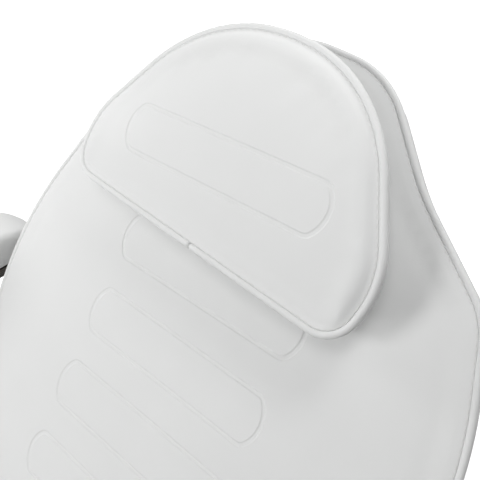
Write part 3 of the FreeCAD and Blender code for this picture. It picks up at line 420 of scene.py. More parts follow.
def inward(line):
    """Unit normals that point into a closed clockwise line."""
    run = np.roll(line, -1, axis=0) - np.roll(line, 1, axis=0)
    normal = np.stack((run[:, 1], -run[:, 0]), 1)
    return normal / np.linalg.norm(normal, axis=1)[:, None]


def edge_distance(points, ring):
    """Distance of each point from a closed line, and how far along the line the nearest place is."""
    runs = np.roll(ring, -1, axis=0) - ring
    squares = (runs ** 2).sum(1) + 1e-12
    lengths = np.sqrt(squares)
    starts = np.concatenate(([0.0], np.cumsum(lengths)[:-1]))
    distance = np.empty(len(points))
    along = np.empty(len(points))
    chunk = 1500
    for i in range(0, len(points), chunk):
        part = points[i:i + chunk]
        share = ((part[:, None, :] - ring[None]) * runs[None]).sum(2) / squares[None]
        share = np.clip(share, 0.0, 1.0)
        gaps = part[:, None, :] - (ring[None] + share[..., None] * runs[None])
        gaps = (gaps ** 2).sum(2)
        best = gaps.argmin(1)
        rows = np.arange(len(part))
        distance[i:i + chunk] = np.sqrt(gaps[rows, best])
        along[i:i + chunk] = starts[best] + share[rows, best] * lengths[best]
    return distance, along


def panel_loop(middle, turn, wide, tall, bow):
    """Closed line of one embossed panel with straight sides, bowed ends and soft corners."""
    half_wide, half_tall = wide / 2.0, tall / 2.0
    radius = (half_tall ** 2 + bow ** 2) / (2.0 * bow)
    spread = math.asin(half_tall / radius)
    right = [(x, half_tall) for x in np.linspace(-half_wide, half_wide, int(wide))]
    for angle in np.linspace(spread, -spread, int(tall)):
        right.append((half_wide + bow - radius + radius * math.cos(angle), radius * math.sin(angle)))
    right = np.array(right)
    line = evened(np.concatenate((right, -right)), 1.0)
    reach = np.arange(-PANEL_SOFT_REACH, PANEL_SOFT_REACH + 1)
    weights = np.exp(-(reach / PANEL_SOFTNESS) ** 2 / 2.0)
    weights /= weights.sum()
    line = sum(weight * np.roll(line, shift, axis=0) for weight, shift in zip(weights, reach))
    line = evened(line, PANEL_SPACING)
    across = line[:, 0] * math.cos(turn) - line[:, 1] * math.sin(turn)
    along = line[:, 0] * math.sin(turn) + line[:, 1] * math.cos(turn)
    return np.stack((across, along + middle), 1)


def panel_gap(points, line):
    """Distance of each point from a panel's line, or far where the panel isn't near."""
    near = np.abs(points[:, 1] - line[:, 1].mean()) < PANEL_NEAR
    gap = np.full(len(points), FAR)
    gap[near], _ = edge_distance(points[near], line)
    return gap


def panel_lines(kind, cover):
    """Middle line of each panel, the lines that shape its groove, and how deep each of these lies."""
    turn, trim = (PILLOW_PANEL_TURN, PILLOW_PANEL_TRIM) if kind == "pillow" else (0.0, 0.0)
    half = cover.line_width / MM / 2.0
    slope = ((-LINE_SHOULDER, 0.0), (-LINE_SLOPE, 0.0), (0.0, 0.5), (LINE_SLOPE, 1.0), (LINE_SHOULDER, 1.0))
    section = [(-half + offset, share) for offset, share in slope]
    section += [(half - offset, share) for offset, share in reversed(slope)]
    middles, lines, depths = [], [], []
    for middle in PANELS[kind]:
        tall = cover.panel_height / MM - trim
        line = panel_loop(middle, turn, cover.panel_width / MM, tall, cover.panel_bow / MM)
        middles.append(line)
        normals = inward(line)
        for offset, share in section:
            lines.append(line + normals * offset)
            depths.append(np.full(len(line), cover.line_depth / MM * share))
    return middles, lines, depths


# Meshes

def fill_face(border, lines, extra):
    """Triangles over a flat face whose border, pressed lines and loose points are kept as they are."""
    points = [Vector(p) for p in np.concatenate([border] + lines + [extra])]
    edges = []
    start = 0
    for line in [border] + lines:
        count = len(line)
        edges += [(start + i, start + (i + 1) % count) for i in range(count)]
        start += count
    verts, _, fills, sources, _, _ = delaunay_2d_cdt(points, edges, [], 1, 1e-7)
    return np.array([tuple(v) for v in verts]), fills, sources


def loose_points(border, lines, spacing, border_gap, line_gap):
    """Staggered points inside a border that keep clear of it and of the pressed lines."""
    low, high = border.min(0), border.max(0)
    rows = []
    for j, y in enumerate(np.arange(low[1], high[1], spacing * ROW_SHARE)):
        xs = np.arange(low[0] + (j % 2) * spacing / 2.0, high[0], spacing)
        rows.append(np.stack((xs, np.full(len(xs), y)), 1))
    grid = np.concatenate(rows)
    inside = np.zeros(len(grid), bool)
    for a, b in zip(border, np.roll(border, -1, axis=0)):
        crosses = (a[1] > grid[:, 1]) != (b[1] > grid[:, 1])
        where = (b[0] - a[0]) * (grid[:, 1] - a[1]) / (b[1] - a[1] + 1e-12) + a[0]
        inside ^= crosses & (grid[:, 0] < where)
    grid = grid[inside]
    distance, _ = edge_distance(grid, border)
    grid = grid[distance > border_gap]
    for line in lines:
        grid = grid[panel_gap(grid, line) > line_gap]
    return grid


def raised(flat, level):
    """Flat points with a level of their own or in common."""
    return np.column_stack((flat, np.broadcast_to(level, len(flat))))


def bands(count, total, closed=False):
    """Faces between each ring of a row and the next, and from the last to the first where it is closed."""
    faces = []
    for i in range(total if closed else total - 1):
        lower, upper = i * count, (i + 1) % total * count
        for k in range(count):
            beside = (k + 1) % count
            faces.append((lower + k, upper + k, upper + beside, lower + beside))
    return faces


def loft(rings, closed=False):
    """Points and faces through a row of rings that runs round again or has a cap on each end."""
    count, total = len(rings[0]), len(rings)
    faces = bands(count, total, closed)
    if not closed:
        faces.append(tuple(range(count)))
        faces.append(tuple(reversed(range((total - 1) * count, total * count))))
    return np.concatenate(rings), faces


def tube(centres, normals, levels, sizes, sides, closed=False):
    """Points and faces of a round cord along a line in a cushion's plane."""
    angles = np.linspace(0.0, 2.0 * math.pi, sides, endpoint=False)
    rings = []
    for centre, normal, level, size in zip(centres, normals, levels, sizes):
        flat = centre + np.outer(size * np.cos(angles), normal)
        rings.append(raised(flat, level + size * np.sin(angles)))
    return loft(rings, closed)


def shell(rings, flat, level, fills, sources):
    """Points and faces of a closed form: a flat foot, rings from the foot up and a filled face."""
    count, total = len(rings[0]), len(rings)
    faces = bands(count, total)
    index, inner = [], []
    for i, source in enumerate(sources):
        if source and source[0] < count:
            index.append((total - 1) * count + source[0])
        else:
            index.append(total * count + len(inner))
            inner.append((*flat[i], level[i]))
    faces += [tuple(index[v] for v in face) for face in fills]
    _, fills, sources = fill_face(rings[0][:, :2], [], np.empty((0, 2)))
    faces += [tuple(sources[v][0] for v in reversed(face)) for face in fills]
    return np.concatenate(rings + [np.array(inner)]), faces


def joined(forms):
    """Points and faces of several forms as one."""
    points, faces, start = [], [], 0
    for form, form_faces in forms:
        points.append(form)
        faces += [tuple(v + start for v in face) for face in form_faces]
        start += len(form)
    return np.concatenate(points), faces


def place(kind, points):
    """Points of a cushion (across, along, level in millimetres) set in the chair, in metres."""
    points = np.array(points, float)
    if kind == "pillow":
        x, along = points[:, 0].copy(), points[:, 1] - PILLOW_TURN_AT
        points[:, 0] = x * math.cos(PILLOW_TURN) - along * math.sin(PILLOW_TURN)
        points[:, 1] = PILLOW_TURN_AT + x * math.sin(PILLOW_TURN) + along * math.cos(PILLOW_TURN)
    (y0, z0), tilt = PLACES[kind]
    turn = math.radians(tilt)
    y = points[:, 1] * math.cos(turn) - points[:, 2] * math.sin(turn)
    z = points[:, 1] * math.sin(turn) + points[:, 2] * math.cos(turn)
    return np.stack((points[:, 0] * MM, y0 + y * MM, z0 + z * MM), 1)


def make_object(name, points, faces, *materials):
    """Smooth mesh object with its place in its vertices."""
    mesh = bpy.data.meshes.new(name)
    mesh.from_pydata([tuple(p) for p in points], [], [tuple(f) for f in faces])
    for material in materials:
        mesh.materials.append(material)
    form = bmesh.new()
    form.from_mesh(mesh)
    bmesh.ops.recalc_face_normals(form, faces=form.faces)
    for face in form.faces:
        face.smooth = True
    form.to_mesh(mesh)
    form.free()
    obj = bpy.data.objects.new(name, mesh)
    bpy.context.scene.collection.objects.link(obj)
    return obj


def select_only(obj):
    """Makes one object the active one and the only one selected."""
    for other in bpy.context.selected_objects:
        other.select_set(False)
    bpy.context.view_layer.objects.active = obj
    obj.select_set(True)


def vertex_places(mesh):
    """Places of a mesh's vertices, one row each."""
    places = np.empty(len(mesh.vertices) * 3)
    mesh.vertices.foreach_get("co", places)
    return places.reshape(-1, 3)


# Forms of the cushions

def smooth(value, low, high):
    """Soft step from zero below a range to one above it."""
    share = np.clip((value - low) / (high - low), 0.0, 1.0)
    return share * share * (3.0 - 2.0 * share)


def crown_rise(kind, points, distance):
    """Height of the face over the sewn edge, without seams or pressed lines."""
    _, seam, top = LEVELS[kind]
    rise = np.full(len(points), FACE_RISE)
    for part, reach in ((1.0 - EDGE_SHARE[kind], CROWN_REACH[kind]), (EDGE_SHARE[kind], EDGE_REACH)):
        share = np.clip((distance - FACE_INSET) / (reach - FACE_INSET), 0.0, 1.0)
        rise += part * (top - seam - FACE_RISE) * (1.0 - (1.0 - share) ** CROWN_POWER)
    return folded(points, rise) if kind == "pillow" else rise


def folded(points, rise):
    """The pillow's face kept under the plane that slopes down from its fold to its lower edge."""
    slope = np.clip((points[:, 1] - PILLOW_FOOT - FOLD_INSET) / FOLD_REACH, 0.0, 2.0)
    ramp = FOLD_LOW + FOLD_RISE * slope
    return -FOLD_BLEND * np.log(np.exp(-rise / FOLD_BLEND) + np.exp(-ramp / FOLD_BLEND))


def wall_profile(kind):
    """Inset and level of the rings from the underside up to the start of the face."""
    low, seam, _ = LEVELS[kind]
    tuck = SIDE_TUCK[kind]
    tall = seam + NECK[0][1] - low
    rings = [(tuck + inset, low + level) for inset, level in FOOT]
    for share in BOX_SHARES:
        inset = tuck * (1.0 - share) ** BOX_POWER + BOX_INSET * share
        inset -= BOX_BULGE * math.sin(math.pi * share)
        rings.append((max(inset, BOX_LEAST), low + tall * share))
    return rings + [(inset, seam + level) for inset, level in NECK]


def plain_form(kind, ring, normals):
    """Closed coarse form of a cushion, a little slack, for the simulation."""
    low, seam, _ = LEVELS[kind]
    tuck = SIDE_TUCK[kind]
    walls = ((tuck + 4.0, low), (tuck * 0.8, low + 8.0), (tuck * 0.45, low + (seam - low) * 0.45),
             (4.0, seam - 8.0), (4.0, seam), (10.0, seam + 3.0))
    rings = [raised(ring + normals * inset, level) for inset, level in walls]
    border = ring + normals * FORM_FACE_INSET
    rise = crown_rise(kind, border, np.full(len(border), FORM_FACE_INSET))
    rings.append(raised(border, seam + rise))
    extra = loose_points(border, [], FORM_SPACING, FORM_CLEARANCE, 0.0)
    flat, fills, sources = fill_face(border, [], extra)
    distance, _ = edge_distance(flat, ring)
    level = seam + crown_rise(kind, flat, distance) - SETTLE * smooth(distance, *SWELL_ZONE)
    return shell(rings, flat, level, fills, sources)


def inflate(obj, held, voxel, limit, cover):
    """Evens a closed form, fills it by cloth pressure where it isn't held, and keeps the result."""
    select_only(obj)
    even = obj.modifiers.new("Even", "REMESH")
    even.mode = "VOXEL"
    even.voxel_size = voxel
    bpy.ops.object.modifier_apply(modifier=even.name)
    rest = vertex_places(obj.data)
    group = obj.vertex_groups.new(name="Held")
    group.add([int(i) for i in np.nonzero(held(rest))[0]], 1.0, "REPLACE")
    cloth = obj.modifiers.new("Cover", "CLOTH")
    cloth.settings.quality = 4
    cloth.settings.mass = 0.3
    cloth.settings.tension_stiffness = 25.0
    cloth.settings.compression_stiffness = 25.0
    cloth.settings.bending_stiffness = 2.0
    cloth.settings.use_pressure = True
    cloth.settings.uniform_pressure_force = cover.pressure
    cloth.settings.effector_weights.gravity = 0.0
    cloth.settings.vertex_group_mass = "Held"
    cloth.collision_settings.use_collision = False
    cloth.point_cache.frame_start = 1
    cloth.point_cache.frame_end = cover.frames
    for step in range(1, cover.frames + 1):
        bpy.context.scene.frame_set(step)
    bpy.ops.object.modifier_apply(modifier=cloth.name)
    bpy.context.scene.frame_set(1)
    move = vertex_places(obj.data) - rest
    length = np.linalg.norm(move, axis=1)
    move *= np.minimum(1.0, limit * MM / np.maximum(length, 1e-9))[:, None]
    obj.data.vertices.foreach_set("co", (rest + move).ravel())
    obj.data.update()
    obj.vertex_groups.clear()


def swollen(kind, cover):
    """Surface of the cushion after cloth pressure has filled the slack cover, as a search tree."""
    low, seam, _ = LEVELS[kind]
    ring, normals = outline(kind, FORM_STEP)

    def held(rest):
        """The foot and a band along the sewn edge."""
        distance, _ = edge_distance(rest[:, :2] / MM, ring)
        level = rest[:, 2] / MM
        return (level < low + HELD_FOOT) | ((np.abs(level - seam) < HELD_SEAM) & (distance < HELD_INSET))

    points, faces = plain_form(kind, ring, normals)
    form = make_object(kind + "_form", points * MM, faces)
    inflate(form, held, cover.voxel, SWELL_LIMIT, cover)
    mesh = form.data
    faces = [tuple(face.vertices) for face in mesh.polygons]
    tree = BVHTree.FromPolygons(vertex_places(mesh).tolist(), faces)
    bpy.data.objects.remove(form)
    bpy.data.meshes.remove(mesh)
    return tree


def swelling(flat, slack, weight, start, tree):
    """How far the filled cover stands over the plain crown, looked for downwards from a level above it."""
    swell = np.zeros(len(flat))
    for i in np.nonzero(weight > 0.0)[0]:
        hit = tree.ray_cast(Vector((*flat[i], start)) * MM, Vector((0.0, 0.0, -1.0)))
        if hit[0] is not None:
            swell[i] = np.clip(hit[0].z / MM - slack[i], 0.0, SETTLE + SWELL_MOST) - SETTLE
    return swell


def face_levels(kind, flat, ring, tree):
    """Level of the face at each flat point: crown, swelling, soft waves and the gathers along the seam."""
    _, seam, top = LEVELS[kind]
    distance, along = edge_distance(flat, ring)
    level = seam + crown_rise(kind, flat, distance)
    weight = smooth(distance, *SWELL_ZONE)
    if tree is not None:
        level += weight * swelling(flat, level - SETTLE * weight, weight, top + LOOK_DOWN, tree)
    if kind == "pillow":
        level = seam + folded(flat, level - seam - FOLD_SOFT) + FOLD_SOFT
    wave = np.sin(flat / WAVE_LENGTHS + WAVE_SHIFTS).prod(1)
    gather = np.sin(along / GATHER_LENGTH + GATHER_WANDER * np.sin(along / WANDER_LENGTH))
    gather *= 1.0 - GATHER_FADE + GATHER_FADE * np.sin(along / FADE_LENGTH)
    gather *= np.exp(-np.maximum(distance - GATHER_INSET, 0.0) / GATHER_REACH)
    return level + WAVE_HEIGHT * weight * wave + GATHER_HEIGHT * gather


def upholster(kind, material):
    """One cushion: boxed sides, sewn edge, crowned face and pressed panel lines."""
    cover = bpy.context.scene.chair_cover
    ring, normals = outline(kind, OUTLINE_STEP)
    tree = swollen(kind, cover)
    rings = [raised(ring + normals * inset, level) for inset, level in wall_profile(kind)]
    for inset in FACE_RINGS:
        flat = ring + normals * inset
        rings.append(raised(flat, face_levels(kind, flat, ring, None)))
    border = rings[-1][:, :2]
    middles, lines, depths = panel_lines(kind, cover)
    line_gap = cover.line_width / MM / 2.0 + LINE_CLEARANCE
    extra = loose_points(border, middles, FACE_SPACING, FACE_CLEARANCE, line_gap)
    flat, fills, sources = fill_face(border, lines, extra)
    known = np.concatenate([np.zeros(len(border))] + depths + [np.zeros(len(extra))])
    dip = np.array([known[source[0]] if source else 0.0 for source in sources])
    gap = np.min([panel_gap(flat, line) for line in middles], axis=0)
    level = face_levels(kind, flat, ring, tree) - dip - WIDE_DIP * np.exp(-(gap / WIDE_REACH) ** 2)
    points, faces = shell(rings, flat, level, fills, sources)
    obj = make_object(kind + "_cover", place(kind, points), faces, material)
    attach(obj, kind)
    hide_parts(kind + "_cushion")


# Welts and stitches

def opened(ring, normals):
    """The pillow's outline run from the welt's joint once round to the joint again."""
    foot = np.abs(ring[:, 1] - PILLOW_FOOT) < 0.5
    gap = np.where(foot, np.abs(ring[:, 0] - JOINT_ACROSS), FAR)
    shift = -int(gap.argmin())
    ring, normals = np.roll(ring, shift, axis=0), np.roll(normals, shift, axis=0)
    return np.concatenate((ring, ring[:1])), np.concatenate((normals, normals[:1]))


def piping(kind, radius):
    """Points and faces of the welt along a cushion's sewn edge, with a butt joint on the pillow."""
    ring, normals = outline(kind, WELT_STEP)
    jointed = kind == "pillow"
    if jointed:
        ring, normals = opened(ring, normals)
    lengths = run_lengths(ring)
    ripple = np.sin(lengths / RIPPLE_LENGTHS[0]) * np.sin(lengths / RIPPLE_LENGTHS[1])
    sizes = radius * (1.0 + WELT_RIPPLE * ripple)
    centres = ring + normals * WELT_INSET
    levels = np.full(len(ring), LEVELS[kind][1])
    if jointed:
        fade = 1.0 - np.arange(JOINT_STEPS) / JOINT_STEPS
        levels[:JOINT_STEPS] += JOINT_LIFTS[0] * fade
        levels[-JOINT_STEPS:] += JOINT_LIFTS[1] * fade[::-1]
        for end, beside in ((0, 1), (-1, -2)):
            run = ring[beside] - ring[end]
            centres[end] += run / np.linalg.norm(run) * JOINT_GAP
            sizes[end] *= JOINT_PINCH
    return tube(centres, normals, levels, sizes, WELT_SIDES, closed=not jointed)


def stitches(kind, pitch):
    """Points and faces of the short threads that lie in the seam between the welt and the face."""
    ring, normals = outline(kind, SEAM_STEP)
    lengths = run_lengths(ring)
    shares, sizes = np.array(STITCH_SHAPE).T
    levels = LEVELS[kind][1] + STITCH_LEVEL + STITCH_ARCH * np.sin(math.pi * shares)
    threads = []
    for start in np.arange(0.0, lengths[-1] - pitch, pitch):
        places = start + pitch * (STITCH_GAP + (1.0 - 2.0 * STITCH_GAP) * shares)
        turned = normals[np.minimum(np.searchsorted(lengths, places), len(normals) - 1)]
        centres = points_at(places, lengths, ring) + turned * STITCH_INSET
        threads.append(tube(centres, turned, levels, sizes, STITCH_SIDES))
    return joined(threads)


def sew_piping(kind, leather, thread):
    """One cushion's welt with the stitches of its seam."""
    cover = bpy.context.scene.chair_cover
    welt = piping(kind, cover.piping_radius / MM)
    points, faces = joined((welt, stitches(kind, cover.stitch_pitch / MM)))
    obj = make_object(kind + "_welt", place(kind, points), faces, leather, thread)
    material_kinds = np.ones(len(faces), int)
    material_kinds[:len(welt[1])] = 0
    obj.data.polygons.foreach_set("material_index", material_kinds)
    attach(obj, kind)
    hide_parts(kind + "_piping")


# Armrest pads

def pad_section(half, high):
    """Rounded section of an armrest pad: across and up, run round from its underside."""
    edge = min(half, high) * PAD_EDGE
    corners = ((half - PAD_FOOT, PAD_FOOT, PAD_FOOT), (half - edge, high - edge, edge),
               (-half + edge, high - edge, edge), (-half + PAD_FOOT, PAD_FOOT, PAD_FOOT))
    points = []
    for quarter, (x, z, radius) in enumerate(corners):
        for turn in np.linspace(-90.0, 0.0, PAD_CORNER_POINTS):
            angle = math.radians(turn + 90.0 * quarter)
            points.append((x + radius * math.cos(angle), z + radius * math.sin(angle)))
    even = evened(np.array(points), 2.0 * (half + high) / PAD_PARTS)
    return resampled(even, PAD_POINTS)


def pad_form(side, slack):
    """Closed form of one armrest pad with blunt rounded ends, a little slack all round."""
    low, high = (np.array(corner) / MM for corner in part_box("arm_pad_" + side))
    middle = (low + high) / 2.0
    half = (high - low) / 2.0 - slack
    tall = high[2] - low[2] - slack
    swings = np.sin(np.linspace(-0.5, 0.5, PAD_STATIONS) * math.pi)
    stations = [(-half[1] + back, PAD_REACH, inset) for back, inset in reversed(PAD_CAP)]
    stations += [(swing * (half[1] - PAD_BLUNT), abs(PAD_REACH * swing), 0.0) for swing in swings]
    stations += [(half[1] - back, PAD_REACH, inset) for back, inset in PAD_CAP]
    rings = []
    for along, reach, inset in stations:
        wide = half[0] * (1.0 - reach ** PAD_PLAN[0]) ** (1.0 / PAD_PLAN[1]) - inset
        high_here = tall * (1.0 - reach ** PAD_SIDE[0]) ** (1.0 / PAD_SIDE[1]) - inset
        section = np.insert(pad_section(wide, high_here), 1, along, axis=1)
        rings.append(section + (middle[0], middle[1], low[2] + PAD_GAP))
    points, faces = loft(rings)
    return points * MM, faces


def upholster_arm(side, material):
    """One armrest pad, filled by cloth pressure over its board."""
    cover = bpy.context.scene.chair_cover
    points, faces = pad_form(side, PAD_SLACK)
    obj = make_object("arm_cover_" + side, points, faces, material)
    held_below = points[:, 2].min() + PAD_HELD * MM
    inflate(obj, lambda rest: rest[:, 2] < held_below, cover.pad_voxel, PAD_SWELL_LIMIT, cover)
    select_only(obj)
    finer = obj.modifiers.new("Finer", "SUBSURF")
    finer.levels = 1
    finer.render_levels = 1
    bpy.ops.object.modifier_apply(modifier=finer.name)
    bpy.ops.object.shade_smooth()
    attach(obj, "arm_" + side)
    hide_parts("arm_pad_" + side)


# Finishes

class Finish:
    """A material over the object's own coordinates, with the node set-ups that the finishes share."""

    def __init__(self, name):
        self.material = bpy.data.materials.new(name)
        self.material.use_nodes = True
        self.nodes = self.material.node_tree.nodes
        self.links = self.material.node_tree.links
        self.shader = self.nodes["Principled BSDF"]
        self.coords = self.nodes.new("ShaderNodeTexCoord").outputs["Object"]

    def plug(self, node, **sockets):
        """Sets or links a node's inputs, which are named with low lines for spaces."""
        for name, value in sockets.items():
            socket = node.inputs[name.replace("_", " ")]
            if isinstance(value, bpy.types.NodeSocket):
                self.links.new(value, socket)
            else:
                socket.default_value = value

    def node(self, kind, **sockets):
        """A new node with its inputs set or linked."""
        node = self.nodes.new(kind)
        self.plug(node, **sockets)
        return node

    def mapped(self, source, **sockets):
        """Coordinates turned or stretched."""
        return self.node("ShaderNodeMapping", Vector=source, **sockets).outputs["Vector"]

    def noise(self, scale, detail, stretch=None, source=None):
        """Noise over the coordinates, stretched where the surface has a direction."""
        source = self.coords if source is None else source
        if stretch is not None:
            source = self.mapped(source, Scale=stretch)
        return self.node("ShaderNodeTexNoise", Vector=source, Scale=scale, Detail=detail).outputs["Fac"]

    def cells(self, scale, smoothness=None):
        """Distance from the middles of small cells."""
        texture = self.node("ShaderNodeTexVoronoi", Vector=self.coords, Scale=scale)
        if smoothness is not None:
            texture.feature = "SMOOTH_F1"
            self.plug(texture, Smoothness=smoothness)
        return texture.outputs["Distance"]

    def tint(self, value, colour, amount, haze=0.0):
        """Base colour that varies between a darker and a lighter shade, the lighter one with a haze on it."""
        ramp = self.node("ShaderNodeValToRGB", Fac=value)
        dark, light = ramp.color_ramp.elements
        dark.position, light.position = NOISE_RANGE
        dark.color = (*(max(0.0, c * (1.0 - amount)) for c in colour), 1.0)
        light.color = (*(min(1.0, c * (1.0 + amount)) + haze for c in colour), 1.0)
        self.plug(self.shader, Base_Color=ramp.outputs["Color"])

    def rough(self, value, low, high):
        """Roughness that varies over a range."""
        least, most = NOISE_RANGE
        span = self.node("ShaderNodeMapRange", Value=value, From_Min=least, From_Max=most,
                         To_Min=low, To_Max=high)
        self.plug(self.shader, Roughness=span.outputs["Result"])

    def bump(self, height, strength, distance):
        """Fine relief, on top of any that is there already."""
        node = self.node("ShaderNodeBump", Height=height, Strength=strength, Distance=distance)
        for link in self.shader.inputs["Normal"].links:
            self.plug(node, Normal=link.from_socket)
        self.plug(self.shader, Normal=node.outputs["Normal"])


def leather_finish(name, grain):
    """White coated fabric: fine pebbled grain, dull gloss and faint cloudiness."""
    finish = Finish(name)
    cloud = finish.noise(scale=9.0, detail=3.0)
    finish.tint(cloud, bpy.context.scene.chair_cover.cover_colour, amount=0.012)
    crease = finish.noise(scale=grain * 0.35, detail=4.0)
    finish.rough(crease, low=0.52, high=0.64)
    finish.bump(finish.cells(grain, smoothness=0.6), strength=0.10, distance=0.00025)
    finish.bump(crease, strength=0.08, distance=0.0003)
    finish.plug(finish.shader, Specular_IOR_Level=0.25)
    return finish.material


def thread_finish(colour):
    """Twisted sewing thread."""
    finish = Finish("sewing_thread")
    ply = finish.noise(scale=2600.0, detail=2.0)
    finish.tint(ply, colour, amount=0.15)
    finish.bump(ply, strength=0.3, distance=0.0001)
    finish.plug(finish.shader, Roughness=0.75)
    return finish.material


def chrome_finish(colour):
    """Bright plating with a faint haze and rubbing marks."""
    finish = Finish("chrome_plate")
    haze = finish.noise(scale=14.0, detail=5.0)
    rub = finish.noise(scale=60.0, detail=6.0, stretch=(1.0, 1.0, 9.0))
    finish.tint(haze, colour, amount=0.02)
    finish.rough(rub, low=0.045, high=0.10)
    finish.bump(haze, strength=0.02, distance=0.0004)
    finish.plug(finish.shader, Metallic=1.0)
    return finish.material


def steel_finish(colour):
    """Bare steel with the marks of turning."""
    finish = Finish("turned_steel")
    turned = finish.noise(scale=240.0, detail=5.0, stretch=(1.0, 14.0, 1.0))
    finish.tint(turned, colour, amount=0.10)
    finish.rough(turned, low=0.22, high=0.38)
    finish.bump(turned, strength=0.12, distance=0.00008)
    finish.plug(finish.shader, Metallic=1.0)
    return finish.material


def paint_finish(name, colour, gloss):
    """Powder coat with its orange-peel skin."""
    finish = Finish(name)
    peel = finish.noise(scale=520.0, detail=2.0)
    dust = finish.noise(scale=22.0, detail=4.0)
    finish.tint(dust, colour, amount=0.03)
    finish.rough(dust, low=gloss - 0.05, high=gloss + 0.07)
    finish.bump(peel, strength=0.22, distance=0.00025)
    finish.plug(finish.shader, Specular_IOR_Level=0.5)
    return finish.material


def board_finish(name, colour, tilt):
    """Dark stained plywood whose plies run with the board."""
    finish = Finish(name)
    level = finish.mapped(finish.coords, Rotation=(-math.radians(tilt), 0.0, 0.0))
    plies = finish.node("ShaderNodeTexWave", Vector=level, Scale=105.0, Distortion=0.4)
    plies.wave_type = "BANDS"
    plies.bands_direction = "Z"
    fibre = finish.noise(scale=160.0, detail=5.0, stretch=(0.06, 1.0, 1.0), source=level)
    mixed = finish.node("ShaderNodeMix", Factor=0.5, A=plies.outputs["Fac"], B=fibre)
    finish.tint(mixed.outputs["Result"], colour, amount=0.45)
    finish.rough(fibre, low=0.55, high=0.75)
    finish.bump(fibre, strength=0.25, distance=0.0002)
    return finish.material


def rubber_finish(colour):
    """Dull moulded rubber with a little dust."""
    finish = Finish("moulded_rubber")
    skin = finish.noise(scale=700.0, detail=3.0)
    dust = finish.noise(scale=30.0, detail=5.0)
    finish.tint(dust, colour, amount=0.25, haze=0.012)
    finish.rough(dust, low=0.62, high=0.82)
    finish.bump(skin, strength=0.25, distance=0.0002)
    return finish.material


def plastic_finish(colour):
    """Moulded plastic with a sparked skin."""
    finish = Finish("moulded_plastic")
    wear = finish.noise(scale=45.0, detail=4.0)
    finish.tint(wear, colour, amount=0.18)
    finish.rough(wear, low=0.36, high=0.52)
    finish.bump(finish.cells(1500.0), strength=0.18, distance=0.00012)
    return finish.material


def tape_finish(colour):
    """Hook-and-loop strip."""
    finish = Finish("hook_and_loop")
    loops = finish.cells(900.0)
    finish.tint(loops, colour, amount=0.16)
    finish.bump(loops, strength=0.8, distance=0.0005)
    finish.plug(finish.shader, Roughness=0.9, Sheen_Weight=0.25)
    return finish.material


def dress(node, material):
    """Gives one piece of the frame its finish."""
    obj = frame["nodes"][node]
    if not obj.material_slots:
        obj.data.materials.append(material)
    for holder in obj.material_slots:
        holder.material = material


def dress_nodes(slot, material):
    """Gives every piece of the frame that uses a slot its finish."""
    for part in frame["record"]["subparts"]:
        if part["material_slot"] == slot:
            dress(part["node"], material)


# Stage

def seen_rays(nodes, links):
    """One for the rays by which the camera, metal and glass see a surface, else zero."""
    path = nodes.new("ShaderNodeLightPath")
    total = path.outputs["Is Camera Ray"]
    for name in ("Is Glossy Ray", "Is Transmission Ray"):
        add = nodes.new("ShaderNodeMath")
        add.operation = "ADD"
        add.use_clamp = True
        links.new(total, add.inputs[0])
        links.new(path.outputs[name], add.inputs[1])
        total = add.outputs["Value"]
    return total


def floor_finish(stage):
    """Pale floor that keeps the chair's shadow and turns to plain white further away."""
    finish = Finish("studio_floor")
    finish.plug(finish.shader, Base_Color=(*stage.floor_colour, 1.0), Roughness=0.9, Specular_IOR_Level=0.1)
    radius = finish.nodes.new("ShaderNodeVectorMath")
    radius.operation = "LENGTH"
    finish.links.new(finish.coords, radius.inputs[0])
    near, far = FLOOR_FADE
    fade = finish.node("ShaderNodeMapRange", Value=radius.outputs["Value"], From_Min=near, From_Max=far,
                       To_Min=stage.floor_glow, To_Max=1.0)
    fade.interpolation_type = "SMOOTHSTEP"
    strength = finish.nodes.new("ShaderNodeMath")
    strength.operation = "MULTIPLY"
    finish.links.new(seen_rays(finish.nodes, finish.links), strength.inputs[0])
    finish.links.new(fade.outputs["Result"], strength.inputs[1])
    glow = finish.node("ShaderNodeEmission", Strength=strength.outputs["Value"])
    both = finish.nodes.new("ShaderNodeAddShader")
    finish.links.new(finish.shader.outputs["BSDF"], both.inputs[0])
    finish.links.new(glow.outputs["Emission"], both.inputs[1])
    finish.plug(finish.nodes["Material Output"], Surface=both.outputs["Shader"])
    return finish.material


def white_room(ambient):
    """World that is white to look at and lights the chair softly."""
    world = bpy.data.worlds.new("white_room")
    world.use_nodes = True
    nodes, links = world.node_tree.nodes, world.node_tree.links
    sky = nodes["Background"]
    sky.inputs["Color"].default_value = (1.0, 1.0, 1.0, 1.0)
    level = nodes.new("ShaderNodeMapRange")
    level.inputs["To Min"].default_value = ambient
    level.inputs["To Max"].default_value = 1.0
    links.new(seen_rays(nodes, links), level.inputs["Value"])
    links.new(level.outputs["Result"], sky.inputs["Strength"])
    return world


def area_lamp(name, place_at, aim_at, size, power):
    """Round lamp that the camera doesn't see."""
    bpy.ops.object.light_add(type="AREA", location=place_at)
    lamp = bpy.context.object
    lamp.name = name
    lamp.data.shape = "DISK"
    lamp.data.size = size
    lamp.data.energy = power
    lamp.visible_camera = False
    aim = Vector(aim_at) - Vector(place_at)
    lamp.rotation_euler = aim.to_track_quat("-Z", "Y").to_euler()


def photo_camera(lens):
    """Camera at the photograph's viewing angle."""
    bpy.ops.object.camera_add(location=CAMERA_PLACE, rotation=[math.radians(turn) for turn in CAMERA_TURN])
    camera = bpy.context.object
    camera.name = "camera"
    camera.data.lens = lens
    camera.data.sensor_width = 36.0
    camera.data.clip_start = 0.01
    camera.data.clip_end = 100.0
    return camera


# Operators

